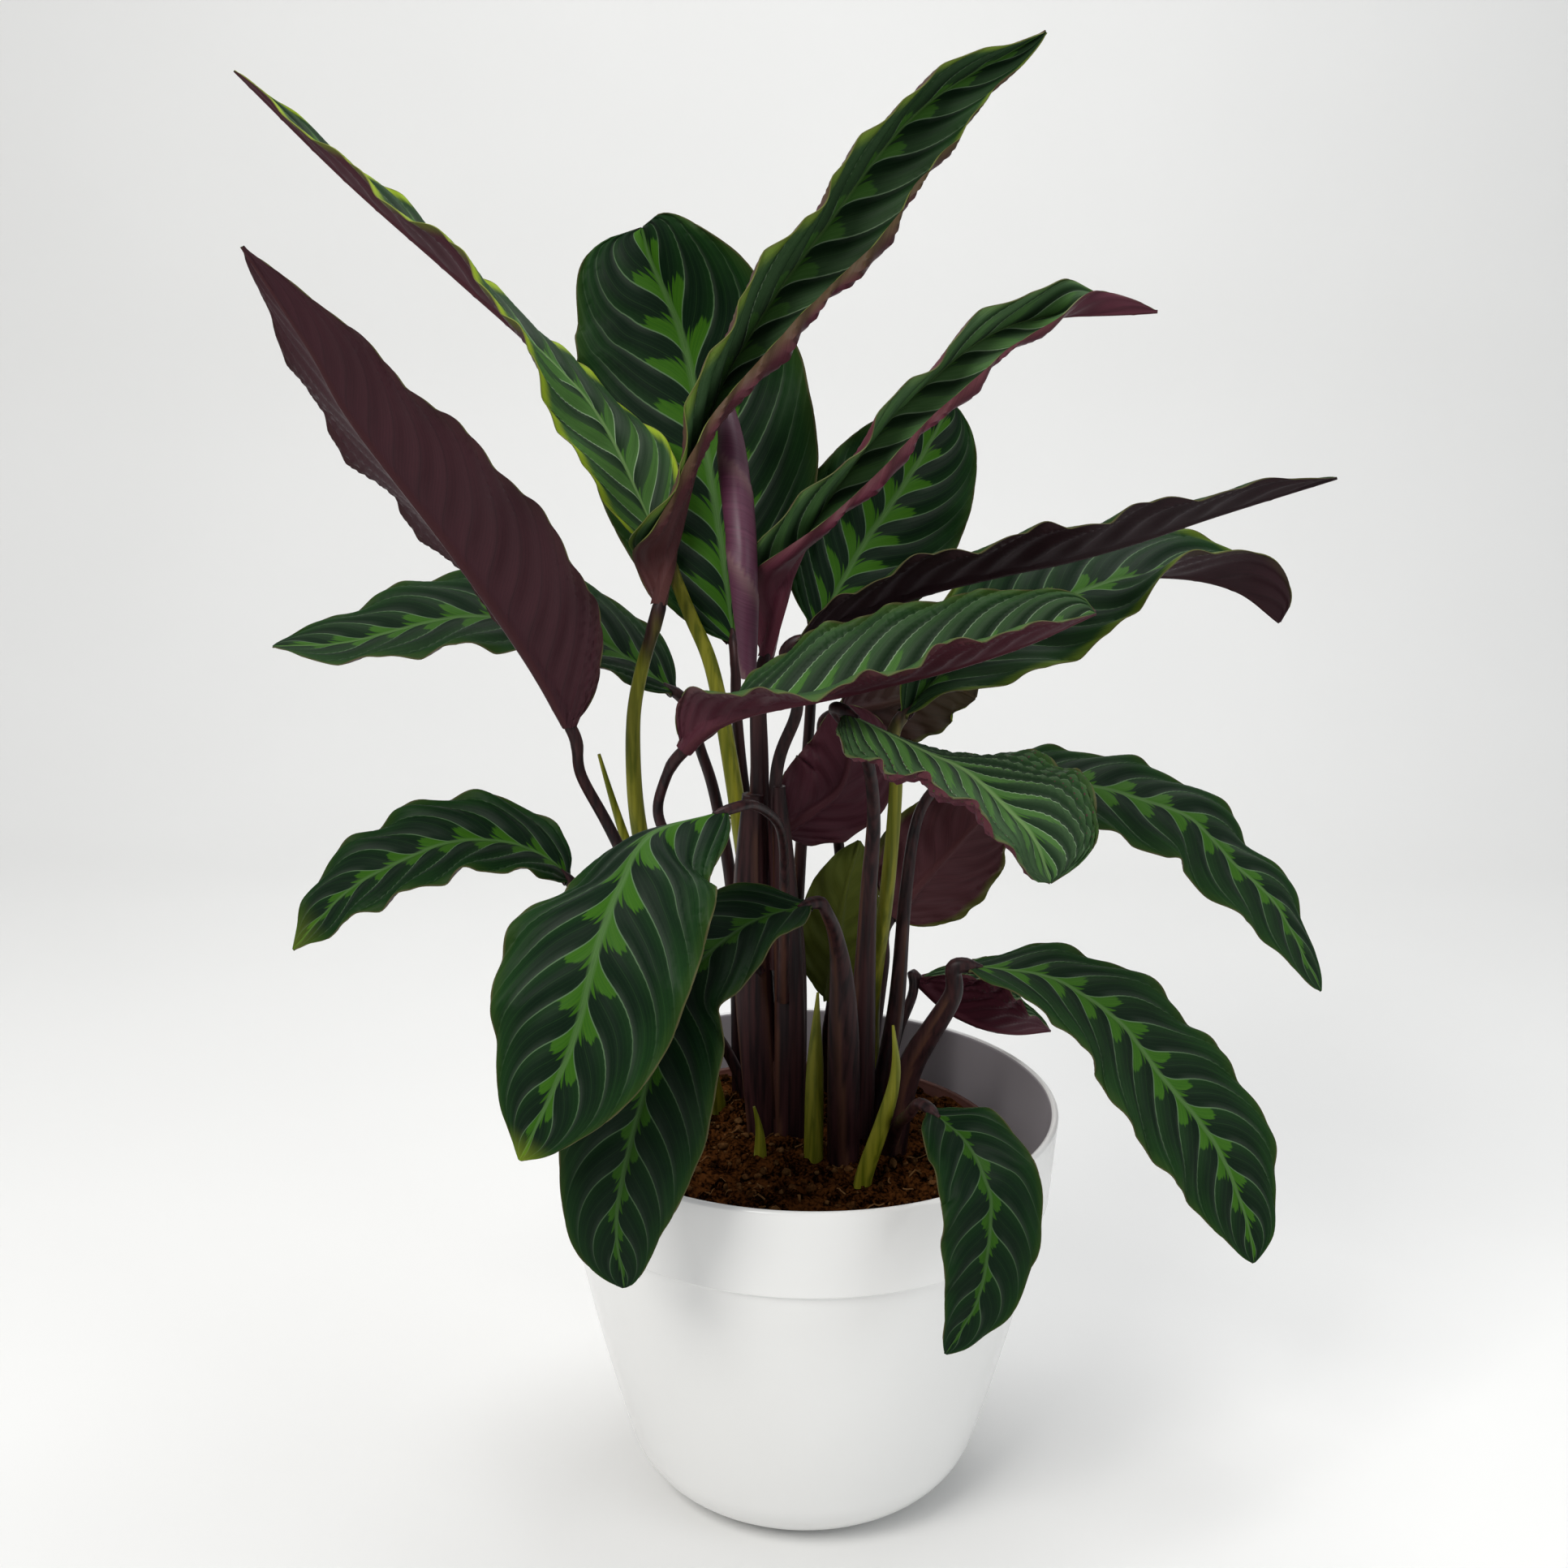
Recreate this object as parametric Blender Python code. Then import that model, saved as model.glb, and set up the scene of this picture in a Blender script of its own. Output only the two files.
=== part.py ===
"""A potted calathea: a white cover pot, a brown grower's pot filled with soil, and the plant.

Metres, +Z up. The origin is on the floor, under the middle of the pot. The side that is seen
first looks towards -Y. A leaf's points run from its stalk to its tip.
"""

import math
from dataclasses import dataclass

import bpy
import numpy as np

# The cover pot, turned round the Z axis.
POT_HEIGHT = 0.195
POT_RIM_RADIUS = 0.120
POT_BAND_HEIGHT = 0.042
POT_BAND_FOOT_RADIUS = 0.1172
POT_BODY_TOP_RADIUS = 0.1152
POT_BODY_FOOT_RADIUS = 0.086
POT_BODY_BULGE = 0.002
POT_CORNER_RADIUS = 0.038
POT_CORNER_TURN = math.radians(75)
POT_WALL = 0.0035
POT_EDGE = 0.001
POT_SEGMENTS = 48

# The grower's pot inside it, and the soil that fills it.
INNER_RIM_RADIUS = 0.096
INNER_RIM_DROP = 0.021
INNER_LIP = 0.003
INNER_LIP_DEPTH = 0.008
INNER_WALL = 0.0018
INNER_FOOT_RADIUS = 0.066
INNER_FOOT_BEVEL = (0.018, 0.0065)  # how far in and how far up its edge is cut
INNER_SEGMENTS = 32
SOIL_DROP = 0.004
SOIL_HEAP = 0.006
SOIL_LUMPS = 0.0015
SOIL_RINGS = (0.022, 0.044, 0.064, 0.080)
GAP = 0.0003

# The plant.
BLADE_THICKNESS = 0.0008
RIB_DEPTH = 0.0016
RIB_TIP_SHARE = 0.15
BLADE_ROWS = 20
BLADE_SIDES = (-1.0, -0.5, 0.0, 0.5, 1.0)
BLADE_END = 0.0006
BASE_ROUNDNESS = 0.6
RUFFLE_SWEEP = 0.12
RUFFLE_SHIFT = 0.35
STALK_RADIUS = 0.0024
STALK_LEAD = 0.010
STALK_CLEARANCE = 0.0004
STEM_FOOT_Z = 0.150
STEM_RING_SPACING = 0.022
STEM_SIDES = 8
THIN_STEM = 0.0033
THIN_STEM_SIDES = 6
SHARP_ANGLE = math.radians(40)
SEED = 7


@dataclass
class Leaf:
    """One blade. Left and right are as seen from above, looking from the stalk to the tip."""
    name: str
    rib: list  # the midrib's course
    width: float  # laid flat, margin to margin, at the widest
    face: list  # where the upper surface looks, at even steps from base to tip
    left: tuple = (20, 20, 20)  # degrees by which the left half is raised, base to tip
    right: tuple = (20, 20, 20)
    curl: tuple = (0, 0)  # further degrees that the left and right halves curl up
    widest: float = 0.42  # share of the length at which it is widest
    tip: float = 0.8  # below 1 the tip is blunter
    waves: float = 5.0
    ruffle: float = 0.0028
    phase: float = 0.0
    colour: str = "leaf_green"


@dataclass
class Stem:
    """One stalk or sheath: its course up from the soil, and its radius at even steps."""
    shoot: str
    course: list
    radii: tuple
    leaf: str = ""  # the blade that it carries
    rooted: bool = True


LEAVES = [
    Leaf("leaf_tall_right",
         [(-0.070, 0.010, 0.432), (-0.050, 0.020, 0.511), (-0.026, 0.030, 0.558), (0.001, 0.040, 0.596),
          (0.044, 0.050, 0.649), (0.101, 0.060, 0.684)], 0.080,
         [(-0.5, 0.6, 0.5), (0, -1, 0), (0, -1, 0), (0.1, -1, 0), (0.2, -1, -0.1), (0.1, -1, -0.1),
          (0.1, -1, -0.2)],
         left=(50, 78, 74, 70, 64, 62, 60), right=(60, 78, 50, 34, 24, 22, 30), curl=(0, 30), tip=0.85),
    Leaf("leaf_tall_left",
         [(-0.071, 0.036, 0.455), (-0.098, 0.044, 0.510), (-0.122, 0.048, 0.538), (-0.166, 0.052, 0.576),
          (-0.214, 0.056, 0.617), (-0.263, 0.060, 0.664)], 0.062,
         [(0.2, -0.9, 0.2), (0.3, -0.9, 0.3), (0.45, -0.45, 0.6), (0.6, 0, 0.8), (0.6, 0, 0.8),
          (0.6, 0, 0.8), (0.6, 0, 0.8)],
         left=(30, 35, 25, 22, 22, 23, 23, 23, 20), right=(20, -5, -40, -12, 5, 15, 20, 20, 18),
         widest=0.3, tip=0.9),
    Leaf("leaf_oval_back",
         [(-0.037, 0.040, 0.410), (-0.047, 0.070, 0.471), (-0.061, 0.095, 0.538), (-0.070, 0.101, 0.564),
          (-0.079, 0.106, 0.583), (-0.084, 0.112, 0.599)], 0.114,
         [(0.1, -1, 0.1), (0.1, -1, 0.1), (0.1, -1, 0.3)],
         left=(5, 0, 0, 0), right=(20, 18, 32, 65), widest=0.55, tip=0.36, ruffle=0.002),
    Leaf("leaf_middle_right",
         [(-0.021, 0.005, 0.409), (-0.007, 0.010, 0.456), (0.020, 0.020, 0.499), (0.049, 0.030, 0.530),
          (0.090, 0.040, 0.557), (0.156, 0.050, 0.563)], 0.062,
         [(-0.5, 0.6, 0.5), (0.1, -1, 0.1), (0.1, -0.9, 0.4), (0.1, 0.9, 0.4)],
         left=(50, 75, 84, 95), right=(70, 45, 25, 10), curl=(0, 30), tip=0.85),
    Leaf("leaf_oval_behind",
         [(0.002, 0.052, 0.414), (0.023, 0.074, 0.449), (0.038, 0.079, 0.471), (0.055, 0.084, 0.498),
          (0.066, 0.087, 0.519)], 0.080, [(0, -1, 0.1), (0, -1, 0.1)],
         left=(15, 10, 10), right=(15, 10, 10), tip=0.6, ruffle=0.002),
    Leaf("leaf_long_right",
         [(-0.006, -0.020, 0.421), (0.017, -0.026, 0.433), (0.046, -0.036, 0.446), (0.079, -0.046, 0.456),
          (0.107, -0.052, 0.463), (0.134, -0.058, 0.472), (0.164, -0.066, 0.484),
          (0.208, -0.080, 0.501)], 0.062,
         [(-0.2, 0.52, 0.85), (-0.2, 0.52, 0.85)], left=(28, 34, 34), right=(4, 6, 8)),
    Leaf("leaf_curled_right",
         [(0.042, 0.000, 0.384), (0.058, 0.004, 0.401), (0.098, 0.014, 0.427), (0.137, 0.020, 0.443),
          (0.168, 0.022, 0.445), (0.195, 0.022, 0.439), (0.215, 0.020, 0.425)], 0.070,
         [(-0.2, -0.6, 0.8), (-0.2, -0.6, 0.8), (-0.1, -0.5, 0.8), (0, -0.4, 0.9), (0.3, -0.3, 0.9)],
         left=(75, 50, 5, 10, 25), right=(40, 5, 5, 55, 90), widest=0.5, tip=0.4),
    Leaf("leaf_centre_right",
         [(-0.056, -0.040, 0.376), (-0.045, -0.045, 0.387), (-0.028, -0.052, 0.396), (0.006, -0.062, 0.405),
          (0.032, -0.067, 0.412), (0.058, -0.072, 0.420), (0.087, -0.080, 0.432),
          (0.113, -0.086, 0.446)], 0.070,
         [(0.1, 0.3, 0.9), (0, -0.4, 0.9), (0, -0.5, 0.9), (0, -0.5, 0.9)],
         left=(15, 20, 24, 30, 34, 28), right=(62, 40, 42, 50, 58, 45), tip=0.45),
    Leaf("leaf_long_left",
         [(-0.109, -0.020, 0.382), (-0.125, -0.025, 0.412), (-0.153, -0.040, 0.459), (-0.190, -0.060, 0.516),
          (-0.204, -0.070, 0.546), (-0.225, -0.085, 0.586)], 0.090,
         [(0.3, 0.9, 0.1), (0.3, 0.9, 0.1)], left=(0, 5, 10, 30), right=(62, 52, 38, 15),
         widest=0.28, tip=1.1),
    Leaf("leaf_behind_left",
         [(-0.067, 0.060, 0.381), (-0.088, 0.062, 0.396), (-0.118, 0.060, 0.411), (-0.166, 0.050, 0.418),
          (-0.220, 0.040, 0.407), (-0.254, 0.035, 0.406)], 0.078,
         [(0, -0.3, 1), (0, -0.3, 1)], left=(10, 5, 5), right=(15, 12, 12), tip=0.75),
    Leaf("leaf_low_left",
         [(-0.112, -0.010, 0.307), (-0.119, -0.012, 0.316), (-0.137, -0.015, 0.325), (-0.161, -0.020, 0.327),
          (-0.183, -0.025, 0.320), (-0.209, -0.030, 0.306), (-0.234, -0.035, 0.280)], 0.064,
         [(0, -0.3, 0.95), (-0.1, -0.3, 0.95), (-0.3, -0.4, 0.7)], left=(10, 5, 5), right=(15, 12, 12)),
    Leaf("leaf_front_left",
         [(-0.037, -0.100, 0.365), (-0.065, -0.128, 0.363), (-0.076, -0.148, 0.347), (-0.084, -0.160, 0.325),
          (-0.092, -0.168, 0.293), (-0.105, -0.172, 0.262), (-0.114, -0.172, 0.243)], 0.080,
         [(0, -0.6, 0.7), (0, -0.9, 0.4), (-0.1, -0.9, 0.4), (-0.2, -0.9, 0.1)],
         left=(8, 5, 5), right=(-85, -55, 0, 0), widest=0.5, tip=0.85),
    Leaf("leaf_front_middle",
         [(-0.002, -0.072, 0.316), (-0.026, -0.095, 0.315), (-0.046, -0.112, 0.304), (-0.059, -0.122, 0.291),
          (-0.065, -0.134, 0.266), (-0.074, -0.142, 0.233), (-0.079, -0.146, 0.203),
          (-0.076, -0.146, 0.174)], 0.062, [(0, -0.7, 0.8), (-0.2, -0.9, 0.5), (0, -1, 0.2), (0, -1, 0.1)],
         left=(30, 30, 15, 10), right=(5, 5, 10), widest=0.55, tip=0.65),
    Leaf("leaf_front_right",
         [(0.014, -0.062, 0.398), (0.030, -0.075, 0.393), (0.046, -0.085, 0.387), (0.062, -0.095, 0.381),
          (0.078, -0.106, 0.368), (0.088, -0.113, 0.358), (0.095, -0.120, 0.342)], 0.090,
         [(0, -0.5, 0.85), (0, -0.6, 0.8), (0.15, -0.65, 0.65), (0.2, -0.7, 0.55)],
         left=(-60, -50, -15, 0), right=(10, 20, 30, 40, 40), widest=0.65, tip=0.6),
    Leaf("leaf_arching_right",
         [(0.080, 0.038, 0.346), (0.110, 0.042, 0.343), (0.139, 0.045, 0.339), (0.163, 0.046, 0.332),
          (0.186, 0.046, 0.323), (0.208, 0.044, 0.301), (0.230, 0.042, 0.280), (0.254, 0.038, 0.238)], 0.064,
         [(0.1, -0.5, 0.8), (0.2, -0.6, 0.75), (0.4, -0.7, 0.5)], left=(0, -14, -18, -14), right=(5, 5, 5)),
    Leaf("leaf_low_right",
         [(0.073, -0.028, 0.273), (0.104, -0.030, 0.270), (0.121, -0.031, 0.263), (0.143, -0.033, 0.247),
          (0.161, -0.035, 0.224), (0.188, -0.038, 0.191), (0.204, -0.042, 0.156),
          (0.209, -0.045, 0.134)], 0.068,
         [(0.1, -0.4, 0.9), (0.3, -0.7, 0.7), (0.3, -0.9, 0.3)], left=(-15, 0, 5), right=(8, 5, 5),
         widest=0.55, tip=0.75),
    Leaf("leaf_over_rim",
         [(0.052, -0.100, 0.233), (0.064, -0.122, 0.230), (0.071, -0.134, 0.220), (0.074, -0.140, 0.207),
          (0.070, -0.145, 0.172), (0.057, -0.146, 0.145)], 0.043,
         [(0.1, -0.6, 0.75), (0.1, -0.9, 0.45), (0.1, -1, 0.1)], left=(12, 10, 10), right=(12, 10, 10)),
    Leaf("leaf_small_back",
         [(0.058, 0.070, 0.229), (0.072, 0.069, 0.215), (0.090, 0.069, 0.205), (0.108, 0.070, 0.201),
          (0.126, 0.072, 0.202)], 0.072,
         [(0.3, 0.1, 1), (0, 0, 1)], left=(52, 55, 50), right=(58, 55, 45), ruffle=0.002),
    Leaf("leaf_underside_right",
         [(0.042, 0.050, 0.270), (0.056, 0.055, 0.286), (0.071, 0.060, 0.302), (0.084, 0.062, 0.316),
          (0.098, 0.066, 0.326)], 0.062, [(0, 1, 0), (0, 1, 0)], left=(10, 10, 10), right=(15, 15, 15),
         ruffle=0.002, tip=0.6),
    Leaf("leaf_underside_high",
         [(0.014, 0.038, 0.376), (0.034, 0.038, 0.380), (0.052, 0.038, 0.385), (0.068, 0.038, 0.388),
          (0.078, 0.038, 0.384)], 0.046, [(0, 1, 0), (0, 1, 0)], left=(10, 10, 10), right=(10, 10, 10),
         ruffle=0.002, tip=0.5),
    Leaf("leaf_underside_middle",
         [(-0.014, 0.014, 0.324), (0.001, 0.014, 0.334), (0.014, 0.014, 0.346), (0.018, 0.014, 0.365),
          (0.014, 0.014, 0.385)], 0.052, [(0, 1, 0), (0, 1, 0)], left=(20, 20, 20), right=(20, 20, 20),
         ruffle=0.002, tip=0.6),
    Leaf("leaf_olive_middle",
         [(0.012, 0.034, 0.232), (0.014, 0.034, 0.262), (0.018, 0.034, 0.290), (0.024, 0.034, 0.314)], 0.040,
         [(0, 1, 0), (0, 1, 0)], left=(15, 10, 10), right=(15, 10, 10), ruffle=0.002),
]

STEMS = [
    Stem("stem_tall_right", [(-0.044, 0.032, 0.175), (-0.062, 0.025, 0.248), (-0.080, 0.018, 0.318),
                             (-0.083, 0.012, 0.372), (-0.079, 0.010, 0.400)],
         (0.0045, 0.0045, 0.0036, 0.0028), "leaf_tall_right"),
    Stem("stem_tall_right", [(-0.048, 0.034, 0.178), (-0.072, 0.028, 0.262), (-0.092, 0.025, 0.329),
                             (-0.100, 0.024, 0.358)], (0.0045, 0.0040, 0.0032, 0.0008)),
    Stem("stem_tall_left", [(-0.017, 0.030, 0.177), (-0.026, 0.026, 0.270), (-0.037, 0.026, 0.347),
                            (-0.047, 0.030, 0.399), (-0.057, 0.033, 0.422)],
         (0.0045, 0.0045, 0.0038, 0.0028), "leaf_tall_left"),
    Stem("stem_long_left", [(-0.052, 0.014, 0.176), (-0.076, 0.002, 0.284), (-0.091, -0.008, 0.328),
                            (-0.106, -0.016, 0.361)], (0.0042, 0.0036, 0.0028, 0.0024), "leaf_long_left"),
    Stem("stem_behind_left", [(-0.034, 0.062, 0.176), (-0.037, 0.062, 0.269), (-0.047, 0.062, 0.330),
                              (-0.055, 0.061, 0.355)], (0.0040, 0.0036, 0.0030, 0.0024), "leaf_behind_left"),
    Stem("stem_low_left", [(-0.031, 0.050, 0.176), (-0.046, 0.050, 0.208), (-0.072, 0.038, 0.242),
                           (-0.090, 0.012, 0.270), (-0.104, -0.005, 0.290)],
         (0.0030, 0.0026, 0.0024), "leaf_low_left"),
    Stem("stems_centre", [(-0.020, 0.006, 0.176), (-0.025, 0.004, 0.240), (-0.028, 0.002, 0.300),
                          (-0.027, 0.002, 0.345)], (0.0080, 0.0090, 0.0085, 0.0050)),
    Stem("stems_centre", [(-0.008, 0.002, 0.176), (-0.009, 0.000, 0.250), (-0.012, -0.002, 0.310),
                          (-0.015, -0.002, 0.350)], (0.0070, 0.0072, 0.0060, 0.0030)),
    Stem("stems_centre", [(-0.023, -0.003, 0.260), (-0.048, -0.015, 0.303), (-0.068, -0.022, 0.336),
                          (-0.069, -0.027, 0.349), (-0.064, -0.034, 0.364)],
         (0.0030, 0.0028, 0.0024, 0.0024), "leaf_centre_right", False),
    Stem("stems_centre", [(-0.012, -0.006, 0.247), (-0.012, -0.025, 0.309), (-0.013, -0.045, 0.338),
                          (-0.017, -0.065, 0.353), (-0.027, -0.090, 0.366)],
         (0.0030, 0.0024, 0.0020, 0.0020), "leaf_front_left", False),
    Stem("stems_centre", [(-0.016, 0.003, 0.260), (-0.016, 0.002, 0.305), (-0.016, -0.002, 0.359),
                          (-0.006, -0.012, 0.391)],
         (0.0040, 0.0032, 0.0028, 0.0024), "leaf_long_right", False),
    Stem("stems_centre", [(-0.024, 0.004, 0.300), (-0.024, 0.006, 0.355), (-0.025, 0.005, 0.387)],
         (0.0055, 0.0045, 0.0040, 0.0030), "leaf_middle_right", False),
    Stem("stem_oval_back", [(-0.016, 0.052, 0.176), (-0.022, 0.046, 0.270), (-0.032, 0.038, 0.340),
                            (-0.036, 0.036, 0.385)], (0.0040, 0.0034, 0.0028, 0.0024), "leaf_oval_back"),
    Stem("stem_oval_behind", [(-0.006, 0.044, 0.176), (-0.006, 0.048, 0.250), (-0.003, 0.052, 0.325),
                              (0.000, 0.050, 0.385)], (0.0036, 0.0032, 0.0028, 0.0024), "leaf_oval_behind"),
    Stem("stem_underside_middle", [(-0.004, 0.018, 0.176), (-0.004, 0.017, 0.254), (-0.009, 0.017, 0.294),
                                   (-0.020, 0.016, 0.312)], (0.0036, 0.0034, 0.0028, 0.0020),
         "leaf_underside_middle"),
    Stem("sheath_front", [(0.017, -0.026, 0.176), (0.016, -0.032, 0.230), (0.014, -0.042, 0.274),
                          (0.010, -0.056, 0.300), (0.005, -0.070, 0.314)],
         (0.0075, 0.0076, 0.0068, 0.0034, 0.0022), "leaf_front_middle"),
    Stem("sheath_young", [(0.003, -0.027, 0.176), (0.003, -0.024, 0.215), (0.004, -0.022, 0.257)],
         (0.0045, 0.0045, 0.0038, 0.0006)),
    Stem("stems_right", [(0.026, -0.004, 0.176), (0.026, -0.005, 0.241), (0.027, -0.010, 0.302),
                         (0.028, -0.022, 0.344), (0.022, -0.042, 0.378)],
         (0.0060, 0.0060, 0.0040, 0.0028, 0.0024), "leaf_front_right"),
    Stem("stems_right", [(0.033, 0.003, 0.180), (0.042, 0.010, 0.235), (0.046, 0.020, 0.291),
                         (0.052, 0.030, 0.330), (0.065, 0.036, 0.345)],
         (0.0060, 0.0050, 0.0036, 0.0028, 0.0024), "leaf_arching_right"),
    Stem("stem_right_green", [(0.034, 0.020, 0.176), (0.031, 0.014, 0.236), (0.036, 0.002, 0.298),
                              (0.039, 0.000, 0.350), (0.038, 0.000, 0.368)],
         (0.0036, 0.0036, 0.0034, 0.0026), "leaf_curled_right"),
    Stem("stem_underside_right", [(0.030, 0.036, 0.176), (0.036, 0.042, 0.230), (0.039, 0.047, 0.256)],
         (0.0034, 0.0028, 0.0022), "leaf_underside_right"),
    Stem("stem_underside_high", [(0.022, 0.050, 0.176), (0.020, 0.049, 0.250), (0.013, 0.046, 0.320),
                                 (0.006, 0.041, 0.360)], (0.0034, 0.0030, 0.0026, 0.0022),
         "leaf_underside_high"),
    Stem("stem_small_back", [(0.042, 0.052, 0.176), (0.046, 0.058, 0.205), (0.056, 0.066, 0.228)],
         (0.0034, 0.0028, 0.0022), "leaf_small_back"),
    Stem("stem_olive", [(0.012, 0.056, 0.176), (0.010, 0.044, 0.214)], (0.0028, 0.0026, 0.0022),
         "leaf_olive_middle"),
    Stem("stems_front_right", [(0.041, -0.012, 0.176), (0.047, -0.013, 0.214), (0.060, -0.020, 0.243),
                               (0.068, -0.026, 0.262)], (0.0070, 0.0066, 0.0050, 0.0026), "leaf_low_right"),
    Stem("stems_front_right", [(0.038, -0.019, 0.176), (0.039, -0.038, 0.192), (0.041, -0.056, 0.208),
                               (0.044, -0.078, 0.222)], (0.0040, 0.0032, 0.0026, 0.0022), "leaf_over_rim"),
    Stem("spear_front", [(0.025, -0.051, 0.176), (0.033, -0.054, 0.205), (0.039, -0.056, 0.232),
                         (0.037, -0.057, 0.255)], (0.0036, 0.0040, 0.0030, 0.0006)),
    Stem("spear_small", [(-0.022, -0.025, 0.176), (-0.022, -0.026, 0.189), (-0.025, -0.027, 0.202)],
         (0.0040, 0.0030, 0.0006)),
    Stem("leaf_rolled", [(-0.029, -0.008, 0.402), (-0.032, -0.008, 0.454), (-0.037, 0.018, 0.494),
                         (-0.043, 0.046, 0.532)], (0.0035, 0.0060, 0.0070, 0.0062, 0.0010), rooted=False),
]

COLOURS = {  # linear red, green and blue, and roughness
    "leaf_green": ((0.012, 0.055, 0.012), 0.60),
    "stalk_dark": ((0.030, 0.010, 0.010), 0.45),
    "stalk_green": ((0.110, 0.120, 0.010), 0.45),
    "leaf_purple": ((0.070, 0.016, 0.030), 0.50),
    "white_plastic": ((0.800, 0.800, 0.780), 0.25),
    "brown_plastic": ((0.070, 0.018, 0.012), 0.45),
    "soil": ((0.030, 0.015, 0.010), 0.95),
}
GREEN_SHOOTS = {"stem_tall_right", "stem_tall_left", "stem_right_green", "sheath_young", "spear_front",
                "spear_small"}


def unit(vectors):
    return vectors / np.linalg.norm(vectors, axis=-1, keepdims=True)


def along(points, count):
    """Evenly spaced points on a smooth curve through the given ones, and the curve's directions."""
    p = np.asarray(points, float)
    p = np.vstack([2 * p[0] - p[1], p, 2 * p[-1] - p[-2]])
    t = np.linspace(0, 1, 24, endpoint=False)[:, None]
    pieces = []
    for a, b, c, d in zip(p, p[1:], p[2:], p[3:]):
        pieces.append(b + 0.5 * t * (c - a + t * (2 * a - 5 * b + 4 * c - d + t * (3 * (b - c) + d - a))))
    fine = np.vstack(pieces + [p[-2]])
    length = np.r_[0, np.cumsum(np.linalg.norm(np.diff(fine, axis=0), axis=1))]
    spots = np.linspace(0, length[-1], count)
    line = np.stack([np.interp(spots, length, fine[:, axis]) for axis in range(3)], axis=1)
    ways = unit(np.gradient(fine, axis=0))
    return line, unit(np.stack([np.interp(spots, length, ways[:, axis]) for axis in range(3)], axis=1))


def steps(values, shares):
    """Values given at even steps from base to tip, read at the shares of the length."""
    values = np.asarray(values, float)
    at = np.linspace(0, 1, len(values))
    if values.ndim == 1:
        return np.interp(shares, at, values)
    return np.stack([np.interp(shares, at, column) for column in values.T], axis=1)


def half_widths(leaf, shares):
    """The outline: a round base, the widest place, and a pointed tip."""
    base = shares / leaf.widest
    tip = (1 - shares) / (1 - leaf.widest)
    base_shape = (base * (2 - base)).clip(0) ** BASE_ROUNDNESS
    tip_shape = (tip * (2 - tip)).clip(0) ** leaf.tip
    shape = np.where(base < 1, base_shape, tip_shape)
    stalk = STALK_RADIUS * (1 - shares) + BLADE_END
    return np.maximum(leaf.width / 2 * shape, stalk)


def blade_surface(leaf, rows, sides):
    """The blade's middle surface as rows of points, base to tip, and the way up at each point."""
    shares = np.linspace(0, 1, rows)
    centre, way = along(leaf.rib, rows)
    face = steps(leaf.face, shares)
    up = unit(face - (face * way).sum(1, keepdims=True) * way)
    across = np.cross(way, up)
    sides = np.asarray(sides, float)[None]
    reach = abs(sides)
    hand = np.sign(sides)
    left, right = steps(leaf.left, shares)[:, None], steps(leaf.right, shares)[:, None]
    raised = np.radians(np.where(sides < 0, left, right))
    curl = np.radians(np.where(sides < 0, leaf.curl[0], leaf.curl[1])) * reach
    chord = half_widths(leaf, shares)[:, None] * reach * np.sinc(curl / 2 / np.pi)
    slope = raised + curl / 2
    points = centre[:, None] + (chord * hand * np.cos(slope))[..., None] * across[:, None]
    points = points + (chord * np.sin(slope))[..., None] * up[:, None]
    end = raised * (hand != 0) + curl
    normal = np.cos(end)[..., None] * up[:, None] - (hand * np.sin(end))[..., None] * across[:, None]
    swing = leaf.waves * (shares[:, None] - RUFFLE_SWEEP * reach) + leaf.phase + RUFFLE_SHIFT * (hand > 0)
    fade = np.sin(np.pi * shares)[:, None] ** 0.5
    ruffle = leaf.ruffle * reach ** 2 * fade * np.sin(2 * np.pi * swing)
    return points + ruffle[..., None] * normal, normal


def blade_mesh(leaf):
    """A closed blade: both faces are split into triangles alike, and the midrib stands out below."""
    surface, normal = blade_surface(leaf, BLADE_ROWS, BLADE_SIDES)
    rows, columns = surface.shape[:2]
    top = surface + normal * BLADE_THICKNESS / 2
    depth = np.full((rows, columns), BLADE_THICKNESS / 2)
    depth[:, columns // 2] += RIB_DEPTH * np.linspace(1, RIB_TIP_SHARE, rows)
    under = surface - normal * depth[..., None]
    points = np.vstack([top.reshape(-1, 3), under.reshape(-1, 3)])
    below = rows * columns
    faces = []
    for row in range(rows - 1):
        for column in range(columns - 1):
            a = row * columns + column
            b, c, d = a + 1, a + columns + 1, a + columns
            cut = [(a, b, c), (a, c, d)] if column < columns // 2 else [(a, b, d), (b, c, d)]
            faces += cut
            faces += [(i + below, k + below, j + below) for i, j, k in cut]
    left = [row * columns for row in range(rows)]
    right = [row * columns + columns - 1 for row in range(rows)]
    first = list(range(columns))
    last = [(rows - 1) * columns + column for column in range(columns)]
    rim = first[:-1] + right[:-1] + last[:0:-1] + left[:0:-1]
    for a, b in zip(rim, rim[1:] + rim[:1]):
        faces += [(b, a, a + below), (b, a + below, b + below)]
    return points, faces


def course_of(stem, leaves):
    """The stem's course, from its foot in the soil to a small gap under the blade that it carries."""
    course = [np.array(point) for point in stem.course]
    if stem.rooted:
        course.insert(0, np.array([course[0][0], course[0][1], STEM_FOOT_Z]))
    if stem.leaf:
        line, way = along(leaves[stem.leaf].rib, BLADE_ROWS)
        course += [line[0] - way[0] * STALK_LEAD, line[0] - way[0] * STALK_CLEARANCE]
    return course


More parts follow.
